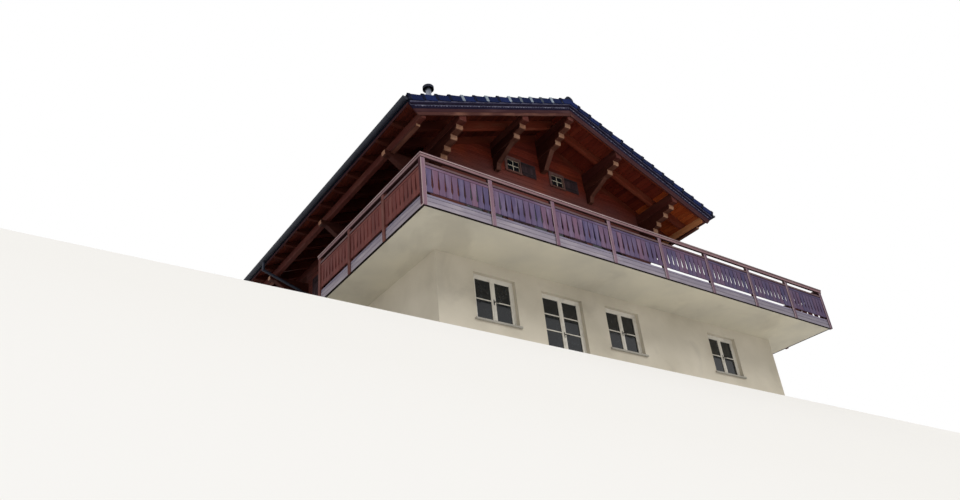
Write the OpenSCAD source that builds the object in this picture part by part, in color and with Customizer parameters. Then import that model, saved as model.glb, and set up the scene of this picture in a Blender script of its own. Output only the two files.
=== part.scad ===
// Alpine chalet: a rendered masonry storey, a terrace slab with a carved balustrade,
// a timber storey with log-end consoles, and a wide tiled gable roof on purlins.
// Millimetres, +Z up, +Y towards the back. The origin is on the ground under the middle of the ridge.

/* [House body] */
// Width of the timber body between its side walls' outer faces
body_w = 7300; // [6400:50:8200]
// Depth of the body between its gable walls' outer faces
body_d = 6800; // [6400:50:7600]
// Height from the ground to the underside of the terrace slab
lower_h = 2600; // [2500:50:3000]
// Height of the timber side walls, from the slab's top to the rafters' underside at the outer face
upper_h = 2690; // [2600:10:3000]
// Thickness of the masonry walls
masonry_t = 300; // [200:10:350]
// Thickness of the timber walls
timber_t = 160; // [120:10:200]
// Thickness of the ground floor slab
ground_t = 200; // [150:10:250]
// Height of the wooden attic floor's top above the timber walls' foot
attic_z = 2450; // [2350:10:2480]
// Thickness of the attic floor
attic_t = 180; // [140:10:220]

/* [Terrace] */
// Thickness of the terrace slab
slab_t = 220; // [180:10:240]
// Width of one bay of the front balustrade
bay_w = 1800; // [1760:10:1900]
// Number of bays along the front
front_bays = 8; // [8:1:9]
// Width of one bay of the side balustrades
side_bay_w = 1620; // [1580:10:1650]
// Number of bays along each side
side_bays = 3; // [3:1:3]
// Number of bays along the back of the right-hand terrace
back_bays = 3; // [2:1:4]
// Depth of the balcony in front of the gable wall
front_walk = 1450; // [1300:10:1600]
// Width of the balcony beside the left wall
left_walk = 1190; // [1100:10:1300]
// How far the slab's right end reaches past the wing under it
right_walk = 1190; // [900:10:1400]
// How far the slab's back edge reaches past the wing's back wall
wing_back_walk = 150; // [100:10:300]

/* [Balustrade] */
// Height of the handrail's top above the slab's underside
rail_top = 1289; // [1200:1:1400]
// Thickness of the handrail plank
handrail_t = 44; // [38:1:50]
// Depth of the handrail plank
handrail_d = 150; // [120:5:180]
// Width of a post across the front
post_w = 110; // [90:5:130]
// Depth of a post from its outer face
post_d = 90; // [80:5:110]
// How far a post's foot hangs below the slab
foot_drop = 15; // [0:1:30]
// Height of the board under the handrail's outer edge
under_rail_h = 70; // [60:1:80]
// Thickness of the board under the handrail's outer edge
under_rail_t = 40; // [30:1:50]
// Height of the rail on the boards, its cap plank included
cap_rail_h = 130; // [115:1:140]
// Height of the cap plank
cap_plank_h = 60; // [45:1:70]
// Height of the cap plank's top above the slab's underside
cap_rail_top = 1066; // [1040:1:1090]
// Height of the boards' lower edge above the slab's underside
board_low = 343; // [325:1:350]
// Width of one balustrade board
board_w = 169; // [150:1:190]
// Thickness of the balustrade boards
board_t = 25; // [20:1:30]
// Height of the rail behind the boards' lower edge
low_rail_h = 70; // [50:5:80]
// Radius of the bulb of a cut-out
drop_r = 30; // [18:1:34]
// Height of a cut-out from the middle of its bulb to its slit's top
drop_h = 385; // [300:5:395]
// Width of a cut-out's slit at its top
drop_slit = 9; // [6:1:14]
// Height of the bulb's middle above the boards' lower edge
drop_low = 195; // [150:1:200]

/* [Terrace edge] */
// Height of the fascia that covers the slab's edge
fascia_h = 280; // [260:5:300]
// Thickness of a fascia plank
fascia_t = 30; // [25:1:35]
// How far the fascia lies behind the posts' outer faces
fascia_in = 30; // [20:1:40]
// Gap between the planks of the fascia
plank_gap = 5; // [3:1:8]
// Height of the fascia's narrow upper plank
top_plank_h = 65; // [50:1:80]
// How far the narrow upper plank lies behind the two planks below it
top_plank_in = 8; // [4:1:12]

/* [Roof] */
// Pitch of both roof slopes in degrees
pitch = 22.2; // [20:0.1:25]
// How far the tiles reach past the side walls
eave_over = 1420; // [1300:10:1500]
// How far the roof reaches past each gable wall
verge_over = 1450; // [1350:10:1550]
// Depth of a rafter, square to the slope
rafter_h = 240; // [200:5:260]
// Width of a rafter
rafter_w = 100; // [80:5:120]
// Number of rafter bays over the body
rafter_bays = 9; // [8:1:10]
// Thickness of the roof boards
deck_t = 24; // [20:1:30]
// Thickness of a tile course with its battens, square to the slope
tile_t = 140; // [120:1:150]
// Height of the step at each tile's lower edge
tile_step = 36; // [24:1:42]
// Number of tile courses on each slope
courses = 14; // [12:1:16]
// How far the tiles reach past the roof boards at the eave
tile_over = 70; // [50:5:90]
// Thickness of the tiles past the board across the rafters' lower ends
lip_t = 50; // [40:5:60]
// Height of a rafter's end, whose underside is cut level there
tail_h = 68; // [60:1:80]
// Height of a verge tile's flap below the tiles' top
flap_h = 165; // [160:1:180]
// Thickness of a verge tile's flap
flap_t = 25; // [20:1:30]
// Height of the upper verge board, measured upright from the tiles' underside
verge_board_h = 135; // [110:5:150]
// Thickness of the upper verge board
verge_board_t = 25; // [20:1:30]
// Height of the barge board, measured upright from the tiles' underside
barge_h = 385; // [330:5:420]
// Thickness of the barge board
barge_t = 30; // [25:1:40]
// Thickness of the metal drip strips at the verge
strip_t = 5; // [3:1:8]
// How far the upper drip strip shows below the verge tiles' flaps
upper_strip_show = 30; // [20:1:40]
// How far the lower drip strip shows below the upper verge board
lower_strip_show = 45; // [30:1:60]
// Thickness of the board across the rafters' lower ends
eave_board_t = 20; // [15:1:30]
// Height of the board across the rafters' lower ends
eave_board_h = 55; // [50:1:70]
// Radius of the ridge tiles
ridge_r = 120; // [100:5:140]
// Exposed length of one ridge tile
ridge_len = 400; // [360:10:450]

/* [Purlins and consoles] */
// Width of a purlin
purlin_w = 200; // [160:5:240]
// Height of a purlin at its outer side
purlin_h = 200; // [160:5:240]
// Distance of the middle purlins from the ridge
mid_x = 1600; // [1500:10:1700]
// How far the eave purlins' middles lie past the side walls' outer faces
eave_purlin_out = 980; // [940:10:1020]
// Width of an eave purlin
eave_purlin_w = 120; // [100:5:140]
// Height of an eave purlin
eave_purlin_h = 200; // [160:5:240]
// Width of a console's bracket below its log ends
console_w = 150; // [120:5:180]
// Height of one log of the timber walls and of its carved end at a console
log_h = 130; // [110:5:140]
// Height of the carved log end under an eave purlin
eave_end_h = 60; // [50:5:80]

/* [Windows and doors] */
// Width of an attic window
attic_win_w = 480; // [420:10:540]
// Height of an attic window
attic_win_h = 420; // [380:10:460]
// Distance of the left attic window's middle from the ridge line
attic_left_x = 990; // [900:10:1040]
// Distance of the right attic window's middle from the ridge line
attic_right_x = 510; // [450:10:560]
// Height of the attic sills above the timber walls' foot
attic_sill = 2810; // [2780:10:2850]
// Width of an attic shutter
attic_shutter_w = 480; // [420:10:500]
// Width of an ordinary window
win_w = 1200; // [1000:50:1350]
// Height of an ordinary window
win_h = 1200; // [1000:50:1300]
// Height of an ordinary window's sill above its floor
sill_h = 900; // [800:50:1000]
// Width of a glazed door
door_w = 1300; // [1100:50:1400]
// Height of a glazed door
door_h = 2050; // [1950:10:2100]
// Depth of a window frame
frame_d = 70; // [60:5:90]
// Width of a frame's bars
frame_w = 70; // [60:5:90]
// Thickness of the glass
glass_t = 24; // [16:2:30]
// Thickness of a shutter
shutter_t = 35; // [25:1:45]

/* [Gutters and flue] */
// Radius of a gutter
gutter_r = 75; // [60:5:90]
// Sheet thickness of a gutter
gutter_t = 4; // [3:1:6]
// Radius of a downpipe
pipe_r = 40; // [35:1:50]
// Radius of the flue
flue_r = 75; // [60:5:100]
// Radius of the flue's cap
flue_cap_r = 150; // [140:5:180]
// Height of the cap's underside above the roof beside it
flue_h = 1850; // [1500:50:2000]
// Distance of the flue from the ridge line
flue_x = 3120; // [2800:20:3300]
// Distance of the flue behind the front gable wall
flue_y = 550; // [500:10:700]

/* [Hidden] */
$fn = 48;
// A cut runs this far past the faces it goes through
past = 50;

// Plan of the body
x_right = body_w / 2;
x_left = -x_right;
y_front = -body_d / 2;
y_back = body_d / 2;
slab_low = lower_h;
slab_top = lower_h + slab_t;

// Plan of the terrace, to the posts' outer faces
tx0 = x_left - left_walk;
tx1 = tx0 + front_bays * bay_w;
ty0 = y_front - front_walk;
ty1 = ty0 + side_bays * side_bay_w;
edge_in = fascia_in + fascia_t;
wing_x = tx1 - right_walk;
wing_y = ty1 - wing_back_walk;

// Roof heights, measured upright from the tiles' top surface
slope = tan(pitch);
up = 1 / cos(pitch);
deck_off = tile_t * up;
rafter_off = deck_off + deck_t * up;
under_off = rafter_off + rafter_h * up;
ridge_z = slab_top + upper_h + under_off + x_right * slope;
roof_x = x_right + eave_over;
deck_x = roof_x - tile_over;
roof_y = body_d / 2 + verge_over;
gauge = roof_x / courses;
lip_x = deck_x + eave_board_t;
lip_off = lip_t * up;
eave_x = x_right + eave_purlin_out;
plate_x = x_right - purlin_w / 2;

// Height of the tiles' top and of the rafters' underside over a point x
function roof_z(x) = ridge_z - abs(x) * slope;
function under_z(x) = roof_z(x) - under_off;
function purlin_low(x) = abs(x) == eave_x ? eave_cut - eave_purlin_h
    : under_z(abs(x) + purlin_w / 2) - purlin_h;

// The rafters' undersides are level from here outwards, over the flat tops of the eave purlins
eave_cut = roof_z(deck_x) - rafter_off - tail_h;

purlin_xs = [0, -mid_x, mid_x, -plate_x, plate_x];
upper_strip_y = roof_y - flap_t;
verge_board_y = upper_strip_y - strip_t;
lower_strip_y = verge_board_y - verge_board_t;
barge_y = lower_strip_y - strip_t;
deck_y = barge_y - barge_t;
verge_rafter_y = deck_y - rafter_w / 2;
wall_mid_y = body_d / 2 - timber_t / 2;
over_rafter_y = (verge_rafter_y + wall_mid_y) / 2;

// Windows as [middle, sill height, width, height], measured along the wall from its middle
attic_wins = [
    [-attic_left_x, slab_top + attic_sill, attic_win_w, attic_win_h],
    [attic_right_x, slab_top + attic_sill, attic_win_w, attic_win_h]
];
upper_front_wins = [
    [-x_right * 0.56, slab_top, door_w, door_h],
    [0, slab_top + sill_h, win_w, win_h],
    [x_right * 0.56, slab_top, door_w, door_h]
];
upper_back_wins = [
    [-x_right * 0.5, slab_top + sill_h, win_w, win_h],
    [x_right * 0.5, slab_top + sill_h, win_w, win_h]
];
upper_left_wins = [
    [y_front * 0.5, slab_top + sill_h, win_w, win_h],
    [y_back * 0.5, slab_top + sill_h, win_w, win_h]
];
upper_right_wins = [
    [y_front * 0.45, slab_top, door_w, door_h],
    [y_back * 0.5, slab_top + sill_h, win_w, win_h]
];
lower_front_wins = [
    [x_left * 0.56, ground_t + sill_h, win_w, win_h],
    [0, ground_t, door_w, door_h],
    [x_right * 0.56, ground_t + sill_h, win_w, win_h],
    [(x_right + wing_x) / 2, ground_t + sill_h, win_w, win_h]
];
lower_side_wins = [[y_back * 0.5, ground_t + sill_h, win_w, win_h]];
lower_back_wins = [
    [-x_right * 0.5, ground_t + sill_h, win_w, win_h],
    [x_right * 0.5, ground_t + sill_h, win_w, win_h]
];

// A box from its lowest and highest corners
module span(lo, hi) {
    translate(lo) cube(hi - lo);
}

// A profile drawn in X and Z, pulled along Y from y0 to y1
module along_y(y0, y1) {
    translate([0, y1, 0]) rotate([90, 0, 0]) linear_extrude(y1 - y0) children();
}

// A copy at the right and one at the left of the ridge
module both_sides() {
    children();
    mirror([1, 0, 0]) children();
}

// A copy at the front and one at the back
module both_ends() {
    children();
    mirror([0, 1, 0]) children();
}

// Boxes cut through a wall that runs along X
module x_wall_cuts(wins, y0, y1) {
    for (w = wins)
        span([w[0] - w[2] / 2, y0 - past, w[1]], [w[0] + w[2] / 2, y1 + past, w[1] + w[3]]);
}

// Boxes cut through a wall that runs along Y
module y_wall_cuts(wins, x0, x1) {
    for (w = wins)
        span([x0 - past, w[0] - w[2] / 2, w[1]], [x1 + past, w[0] + w[2] / 2, w[1] + w[3]]);
}

// Ground storey

module ground_floor() {
    in_t = masonry_t;
    color("silver") union() {
        span([x_left + in_t, y_front + in_t, 0], [x_right - in_t, y_back - in_t, ground_t]);
        span([x_right - in_t - past, y_front + in_t, 0], [wing_x - in_t, wing_y - in_t, ground_t]);
    }
}

module lower_front_wall() {
    color("linen") difference() {
        span([x_left, y_front, 0], [wing_x, y_front + masonry_t, slab_low]);
        x_wall_cuts(lower_front_wins, y_front, y_front + masonry_t);
    }
}

module lower_left_wall() {
    color("linen") difference() {
        span([x_left, y_front + masonry_t, 0], [x_left + masonry_t, y_back - masonry_t, slab_low]);
        y_wall_cuts(lower_side_wins, x_left, x_left + masonry_t);
    }
}

module lower_back_wall() {
    color("linen") difference() {
        span([x_left, y_back - masonry_t, 0], [x_right, y_back, slab_low]);
        x_wall_cuts(lower_back_wins, y_back - masonry_t, y_back);
    }
}

module lower_right_wall() {
    color("linen") difference() {
        span([x_right - masonry_t, wing_y - masonry_t, 0], [x_right, y_back - masonry_t, slab_low]);
        y_wall_cuts(lower_side_wins, x_right - masonry_t, x_right);
    }
}

module wing_right_wall() {
    color("linen")
        span([wing_x - masonry_t, y_front + masonry_t, 0], [wing_x, wing_y - masonry_t, slab_low]);
}

module wing_back_wall() {
    color("linen") span([x_right, wing_y - masonry_t, 0], [wing_x, wing_y, slab_low]);
}

// Windows

// One frame in its own plane, X along the wall and Z up, with its outer face at y = 0
module frame_ring(w, cols, rows, bar) {
    pane_w = (w[2] - 2 * frame_w - (cols - 1) * bar) / cols;
    pane_h = (w[3] - 2 * frame_w - (rows - 1) * bar) / rows;
    difference() {
        span([w[0] - w[2] / 2, 0, w[1]], [w[0] + w[2] / 2, frame_d, w[1] + w[3]]);
        for (i = [0:cols - 1], j = [0:rows - 1])
            translate([w[0] - w[2] / 2 + frame_w + i * (pane_w + bar), -past,
                w[1] + frame_w + j * (pane_h + bar)])
                cube([pane_w, frame_d + 2 * past, pane_h]);
    }
}

// The panes of the same frame
module frame_glass(w, cols, rows, bar) {
    pane_w = (w[2] - 2 * frame_w - (cols - 1) * bar) / cols;
    pane_h = (w[3] - 2 * frame_w - (rows - 1) * bar) / rows;
    for (i = [0:cols - 1], j = [0:rows - 1])
        translate([w[0] - w[2] / 2 + frame_w + i * (pane_w + bar), (frame_d - glass_t) / 2,
            w[1] + frame_w + j * (pane_h + bar)])
            cube([pane_w, glass_t, pane_h]);
}

// How far a frame's face lies behind the wall's outer face
masonry_reveal = 100;
timber_reveal = 40;
casement_bar = 90;

module in_front_wall(y) {
    translate([0, y, 0]) children();
}

module in_back_wall(y) {
    translate([0, y, 0]) mirror([0, 1, 0]) children();
}

module in_left_wall(x) {
    translate([x, 0, 0]) rotate([0, 0, -90]) mirror([1, 0, 0]) children();
}

module in_right_wall(x) {
    mirror([1, 0, 0]) in_left_wall(-x) children();
}

module lower_window_frames() {
    color("ivory") {
        for (w = lower_front_wins) in_front_wall(y_front + masonry_reveal) frame_ring(w, 2, 1, casement_bar);
        for (w = lower_back_wins) in_back_wall(y_back - masonry_reveal) frame_ring(w, 2, 1, casement_bar);
        for (w = lower_side_wins) in_left_wall(x_left + masonry_reveal) frame_ring(w, 2, 1, casement_bar);
        for (w = lower_side_wins) in_right_wall(x_right - masonry_reveal) frame_ring(w, 2, 1, casement_bar);
    }
}

module lower_glass() {
    color("lightblue", 0.5) {
        for (w = lower_front_wins) in_front_wall(y_front + masonry_reveal) frame_glass(w, 2, 1, casement_bar);
        for (w = lower_back_wins) in_back_wall(y_back - masonry_reveal) frame_glass(w, 2, 1, casement_bar);
        for (w = lower_side_wins) in_left_wall(x_left + masonry_reveal) frame_glass(w, 2, 1, casement_bar);
        for (w = lower_side_wins) in_right_wall(x_right - masonry_reveal) frame_glass(w, 2, 1, casement_bar);
    }
}

attic_bar = 26;

module upper_window_frames() {
    color("burlywood") {
        for (w = attic_wins) in_front_wall(y_front) frame_ring(w, 2, 2, attic_bar);
        for (w = attic_wins) in_back_wall(y_back) frame_ring(w, 2, 2, attic_bar);
        for (w = upper_front_wins) in_front_wall(y_front + timber_reveal) frame_ring(w, 2, 1, casement_bar);
        for (w = upper_back_wins) in_back_wall(y_back - timber_reveal) frame_ring(w, 2, 1, casement_bar);
        for (w = upper_left_wins) in_left_wall(x_left + timber_reveal) frame_ring(w, 2, 1, casement_bar);
        for (w = upper_right_wins) in_right_wall(x_right - timber_reveal) frame_ring(w, 2, 1, casement_bar);
    }
}

module upper_glass() {
    color("slategray", 0.6) {
        for (w = attic_wins) in_front_wall(y_front) frame_glass(w, 2, 2, attic_bar);
        for (w = attic_wins) in_back_wall(y_back) frame_glass(w, 2, 2, attic_bar);
        for (w = upper_front_wins) in_front_wall(y_front + timber_reveal) frame_glass(w, 2, 1, casement_bar);
        for (w = upper_back_wins) in_back_wall(y_back - timber_reveal) frame_glass(w, 2, 1, casement_bar);
        for (w = upper_left_wins) in_left_wall(x_left + timber_reveal) frame_glass(w, 2, 1, casement_bar);
        for (w = upper_right_wins) in_right_wall(x_right - timber_reveal) frame_glass(w, 2, 1, casement_bar);
    }
}

// Space between a window's edge and the shutter folded back beside it
shutter_gap = 20;

// A pair of leaves folded back on the wall beside a window
module shutter_pair(w) {
    leaf = w[2] / 2;
    for (side = [-1, 1])
        translate([w[0] + side * (w[2] / 2 + shutter_gap + leaf / 2) - leaf / 2, -shutter_t, w[1]])
            cube([leaf, shutter_t, w[3]]);
}

module shutters() {
    color("sienna") {
        for (w = attic_wins)
            translate([w[0] + w[2] / 2 + shutter_gap, y_front - shutter_t, w[1]])
                cube([attic_shutter_w, shutter_t, w[3]]);
        for (w = attic_wins)
            mirror([0, 1, 0]) translate([w[0] + w[2] / 2 + shutter_gap, y_front - shutter_t, w[1]])
                cube([attic_shutter_w, shutter_t, w[3]]);
        in_front_wall(y_front) shutter_pair(upper_front_wins[1]);
        for (w = upper_back_wins) in_back_wall(y_back) shutter_pair(w);
        for (w = upper_left_wins) in_left_wall(x_left) shutter_pair(w);
        in_right_wall(x_right) shutter_pair(upper_right_wins[1]);
    }
}

// Terrace

// The drip at the slab's lower outer edge
drip_w = 25;
drip_h = 60;

module terrace_slab() {
    drip_in = edge_in + drip_w;
    color("wheat") union() {
        span([tx0 + edge_in, ty0 + edge_in, slab_low + drip_h], [tx1 - edge_in, ty1 - edge_in, slab_top]);
        span([tx0 + drip_in, ty0 + drip_in, slab_low], [tx1 - drip_in, ty1 - drip_in, slab_top]);
        span([x_left, ty1 - edge_in - past, slab_low], [x_right, y_back, slab_top]);
    }
}

// Two planks and a narrow one set back above them, in the box that a fascia fills
module fascia_planks(lo, hi) {
    plank = (fascia_h - top_plank_h - 2 * plank_gap) / 2;
    for (z = [0, plank + plank_gap])
        span([lo[0], lo[1], slab_low + z], [hi[0], hi[1], slab_low + z + plank]);
    intersection() {
        span([lo[0], lo[1], slab_low + fascia_h - top_plank_h], [hi[0], hi[1], slab_low + fascia_h]);
        span([tx0 + fascia_in + top_plank_in, ty0 + fascia_in + top_plank_in, slab_low],
            [tx1 - fascia_in - top_plank_in, ty1 - fascia_in - top_plank_in, slab_low + 2 * fascia_h]);
    }
}

module front_fascia() {
    color("rosybrown")
        fascia_planks([tx0 + fascia_in, ty0 + fascia_in], [tx1 - fascia_in, ty0 + edge_in]);
}

module side_fascia() {
    color("rosybrown") {
        fascia_planks([tx0 + fascia_in, ty0 + edge_in], [tx0 + edge_in, ty1 - edge_in]);
        fascia_planks([tx1 - edge_in, ty0 + edge_in], [tx1 - fascia_in, ty1 - edge_in]);
    }
}

module back_fascia() {
    color("rosybrown") {
        fascia_planks([tx0 + fascia_in, ty1 - edge_in], [x_left, ty1 - fascia_in]);
        fascia_planks([x_right, ty1 - edge_in], [tx1 - fascia_in, ty1 - fascia_in]);
    }
}

rail_under = rail_top - handrail_t;

// How far the handrail's plank reaches past the posts' outer faces, and the board under it stays behind it
rail_proud = 20;
rail_step = 12;

// The band round the terrace that the board under the handrail takes up
module under_rail_band() {
    out = rail_proud - rail_step;
    in = under_rail_t - out;
    low = slab_low + rail_under - under_rail_h;
    difference() {
        span([tx0 - out, ty0 - out, low], [tx1 + out, ty1 + out, slab_low + rail_under]);
        span([tx0 + in, ty0 + in, low - past], [tx1 - in, ty1 - in, slab_low + rail_top]);
    }
}

// One post, notched over the fascia below and behind the board under the handrail above
module post(lo, hi) {
    difference() {
        span([lo[0], lo[1], slab_low - foot_drop], [hi[0], hi[1], slab_low + rail_under]);
        span([tx0 + fascia_in, ty0 + fascia_in, slab_low - foot_drop - past],
            [tx1 - fascia_in, ty1 - fascia_in, slab_low + fascia_h]);
        under_rail_band();
    }
}

module front_posts() {
    color("rosybrown") {
        for (i = [1:front_bays - 1])
            post([tx0 + i * bay_w - post_w / 2, ty0], [tx0 + i * bay_w + post_w / 2, ty0 + post_d]);
        post([tx0, ty0], [tx0 + post_w, ty0 + post_w]);
        post([tx1 - post_w, ty0], [tx1, ty0 + post_w]);
    }
}

// What stands on the right side is the left side turned over about the terrace's middle
module to_right_side() {
    translate([tx0 + tx1, 0, 0]) mirror([1, 0, 0]) children();
}

module left_side_posts() {
    for (j = [1:side_bays - 1])
        post([tx0, ty0 + j * side_bay_w - post_w / 2], [tx0 + post_d, ty0 + j * side_bay_w + post_w / 2]);
}

module side_posts() {
    color("sienna") {
        left_side_posts();
        to_right_side() left_side_posts();
    }
}

back_bay_w = (tx1 - x_right) / back_bays;

module back_posts() {
    color("sienna") {
        post([tx0, ty1 - post_w], [tx0 + post_w, ty1]);
        post([tx1 - post_w, ty1 - post_w], [tx1, ty1]);
        for (i = [1:back_bays - 1])
            post([x_right + i * back_bay_w - post_w / 2, ty1 - post_d],
                [x_right + i * back_bay_w + post_w / 2, ty1]);
    }
}

// Depth of the rail on the boards, and how far it and the boards lie behind the posts' outer faces
rail_in = 18;
rail_d = 60;
board_in = 22;
// Depth of the rail behind the boards' lower edge, and its height above that edge
low_rail_d = 30;
low_rail_up = 20;

cap_low = cap_rail_top - cap_rail_h;
board_h = cap_low - board_low;

// A length of handrail: a flat plank, with a board on edge under it along the terrace's outside
module handrail(lo, hi) {
    span([lo[0], lo[1], slab_low + rail_under], [hi[0], hi[1], slab_low + rail_top]);
    intersection() {
        span([lo[0], lo[1], slab_low], [hi[0], hi[1], slab_low + rail_top]);
        under_rail_band();
    }
}

// A drop-shaped cut-out: a bulb below a slit that narrows upwards
module drop() {
    circle(r = drop_r);
    polygon([[-drop_r, 0], [drop_r, 0], [drop_slit / 2, drop_h], [-drop_slit / 2, drop_h]]);
}

// A field of boards with a cut-out at each joint, in its own plane from x = 0 to len
module board_field(len) {
    count = max(2, round(len / board_w));
    step = len / count;
    translate([0, board_in + board_t, slab_low + board_low]) rotate([90, 0, 0]) linear_extrude(board_t)
        difference() {
            square([len, board_h]);
            for (i = [0:count]) translate([i * step, drop_low]) drop();
        }
}

// The rails of one bay: on the boards, with a cap plank flush with the posts, and behind their lower edge
module bay_rails(len) {
    span([0, rail_in, slab_low + cap_low], [len, rail_in + rail_d, slab_low + cap_rail_top]);
    span([0, 0, slab_low + cap_rail_top - cap_plank_h], [len, rail_in + rail_d, slab_low + cap_rail_top]);
    low = slab_low + board_low + low_rail_up;
    span([0, board_in + board_t, low], [len, board_in + board_t + low_rail_d, low + low_rail_h]);
}

// Children of each bay along the front, where a bay is clear between its posts
module front_clear(i) {
    left = i == 0 ? post_w : i * bay_w + post_w / 2;
    right = i == front_bays - 1 ? front_bays * bay_w - post_w : (i + 1) * bay_w - post_w / 2;
    $len = right - left;
    translate([tx0 + left, ty0, 0]) children();
}

// The same along a side, seen from outside with x running away from the front
module side_clear(j) {
    near = j == 0 ? post_w : j * side_bay_w + post_w / 2;
    far = j == side_bays - 1 ? side_bays * side_bay_w - post_w : (j + 1) * side_bay_w - post_w / 2;
    $len = far - near;
    translate([tx0, ty0 + near, 0]) rotate([0, 0, 90]) mirror([0, 1, 0]) children();
}

// The same along the back of the left balcony
module left_back_clear() {
    $len = left_walk - post_w;
    translate([tx0 + post_w, ty1, 0]) mirror([0, 1, 0]) children();
}

// The same along the back of the right terrace
module right_back_clear(i) {
    left = i == 0 ? 0 : i * back_bay_w + post_w / 2;
    right = i == back_bays - 1 ? back_bays * back_bay_w - post_w : (i + 1) * back_bay_w - post_w / 2;
    $len = right - left;
    translate([x_right + left, ty1, 0]) mirror([0, 1, 0]) children();
}

module front_boards() {
    color("rosybrown") for (i = [0:front_bays - 1]) front_clear(i) board_field($len);
}

module side_boards() {
    color("sienna") for (j = [0:side_bays - 1]) {
        side_clear(j) board_field($len);
        to_right_side() side_clear(j) board_field($len);
    }
}

module back_boards() {
    color("sienna") {
        left_back_clear() board_field($len);
        for (i = [0:back_bays - 1]) right_back_clear(i) board_field($len);
    }
}

module front_rails() {
    color("tan") {
        for (i = [0:front_bays - 1]) front_clear(i) bay_rails($len);
        handrail([tx0 - rail_proud, ty0 - rail_proud], [tx1 + rail_proud, ty0 - rail_proud + handrail_d]);
    }
}

module left_side_rails() {
    for (j = [0:side_bays - 1]) side_clear(j) bay_rails($len);
    handrail([tx0 - rail_proud, ty0 - rail_proud + handrail_d],
        [tx0 - rail_proud + handrail_d, ty1 + rail_proud - handrail_d]);
}

module side_rails() {
    color("tan") {
        left_side_rails();
        to_right_side() left_side_rails();
    }
}

module back_rails() {
    y0 = ty1 + rail_proud - handrail_d;
    color("tan") {
        left_back_clear() bay_rails($len);
        for (i = [0:back_bays - 1]) right_back_clear(i) bay_rails($len);
        handrail([tx0 - rail_proud, y0], [x_left, ty1 + rail_proud]);
        handrail([x_right, y0], [tx1 + rail_proud, ty1 + rail_proud]);
    }
}

// Timber storey

// A gable wall's outline in X and Z, up to the rafters' underside
module gable_outline() {
    polygon([[x_left, slab_top], [x_right, slab_top], [x_right, under_z(x_right)], [0, under_z(0)],
        [x_left, under_z(x_left)]]);
}

// A purlin's section in X and Z, its top cut to the slope
module purlin_section(x) {
    s = x < 0 ? -1 : 1;
    low = purlin_low(x);
    half = purlin_w / 2;
    if (x == 0)
        polygon([[-half, low], [half, low], [half, under_z(half)], [0, under_z(0)], [-half, under_z(half)]]);
    else
        polygon([[x - s * half, low], [x + s * half, low], [x + s * half, under_z(abs(x) + half)],
            [x - s * half, under_z(abs(x) - half)]]);
}

// The notches in the gable walls' slopes through which the purlins pass
module purlin_passages() {
    for (x = [0, -mid_x, mid_x])
        translate([x - purlin_w / 2, purlin_low(x)]) square([purlin_w, 3 * purlin_h]);
    for (x = [x_left - past, x_right - purlin_w])
        translate([x, plate_low]) square([purlin_w + past, 3 * purlin_h]);
}

// The V-shaped joints between the logs, on the outer faces of all four walls
log_joint = 6;

module x_log_joints(y) {
    for (z = [purlin_low(0) - log_h:-log_h:slab_top + log_h / 2])
        translate([x_left - past, y, z]) rotate([45, 0, 0])
            translate([0, -log_joint, -log_joint]) cube([body_w + 2 * past, 2 * log_joint, 2 * log_joint]);
}

module y_log_joints(x, top) {
    for (z = [purlin_low(0) - log_h:-log_h:slab_top + log_h / 2])
        if (z < top)
            translate([x, y_front - past, z]) rotate([0, 45, 0])
                translate([-log_joint, 0, -log_joint]) cube([2 * log_joint, body_d + 2 * past, 2 * log_joint]);
}

module upper_front_wall() {
    color("brown") difference() {
        along_y(y_front, y_front + timber_t) difference() {
            gable_outline();
            purlin_passages();
        }
        x_wall_cuts(concat(upper_front_wins, attic_wins), y_front, y_front + timber_t);
        x_log_joints(y_front);
        for (x = [x_left, x_right]) y_log_joints(x, plate_low - log_joint * 2);
    }
}

module upper_back_wall() {
    color("brown") difference() {
        along_y(y_back - timber_t, y_back) difference() {
            gable_outline();
            purlin_passages();
        }
        x_wall_cuts(concat(upper_back_wins, attic_wins), y_back - timber_t, y_back);
        x_log_joints(y_back);
        for (x = [x_left, x_right]) y_log_joints(x, plate_low - log_joint * 2);
    }
}

plate_low = purlin_low(plate_x);

module upper_left_wall() {
    color("brown") difference() {
        span([x_left, y_front + timber_t, slab_top], [x_left + timber_t, y_back - timber_t, plate_low]);
        y_wall_cuts(upper_left_wins, x_left, x_left + timber_t);
        y_log_joints(x_left, plate_low - log_joint * 2);
    }
}

module upper_right_wall() {
    color("brown") difference() {
        span([x_right - timber_t, y_front + timber_t, slab_top], [x_right, y_back - timber_t, plate_low]);
        y_wall_cuts(upper_right_wins, x_right - timber_t, x_right);
        y_log_joints(x_right, plate_low - log_joint * 2);
    }
}

module attic_floor() {
    color("peru")
        span([x_left + timber_t, y_front + timber_t, slab_top + attic_z - attic_t],
            [x_right - timber_t, y_back - timber_t, slab_top + attic_z]);
}

// Roof timbers

module purlins() {
    color("saddlebrown") {
        for (x = purlin_xs) along_y(-deck_y, deck_y) purlin_section(x);
        for (x = [-eave_x, eave_x])
            span([x - eave_purlin_w / 2, -deck_y, purlin_low(x)], [x + eave_purlin_w / 2, deck_y, eave_cut]);
    }
}

// A carved log end in u and v, where u runs out from the wall and v up: square, with a rounded lower nose
module log_end(out, top, high) {
    r = high * 0.45;
    translate([0, top - high]) {
        square([out - r, high]);
        translate([0, r]) square([out, high - r]);
        translate([out - r, r]) circle(r = r);
    }
}

// Log ends one below the other, each shorter than the last
module log_ends(outs, high) {
    for (i = [0:len(outs) - 1]) log_end(outs[i] * front_walk, -i * high, high);
}

// The bracket below the log ends: out at its top, straight down to its foot at the wall, and let into
// the log above it by a little
module bracket(top, out, foot_out, foot) {
    polygon([[0, top + log_h / 4], [out, top + log_h / 4], [out, top], [foot_out, foot], [0, foot]]);
}

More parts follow.
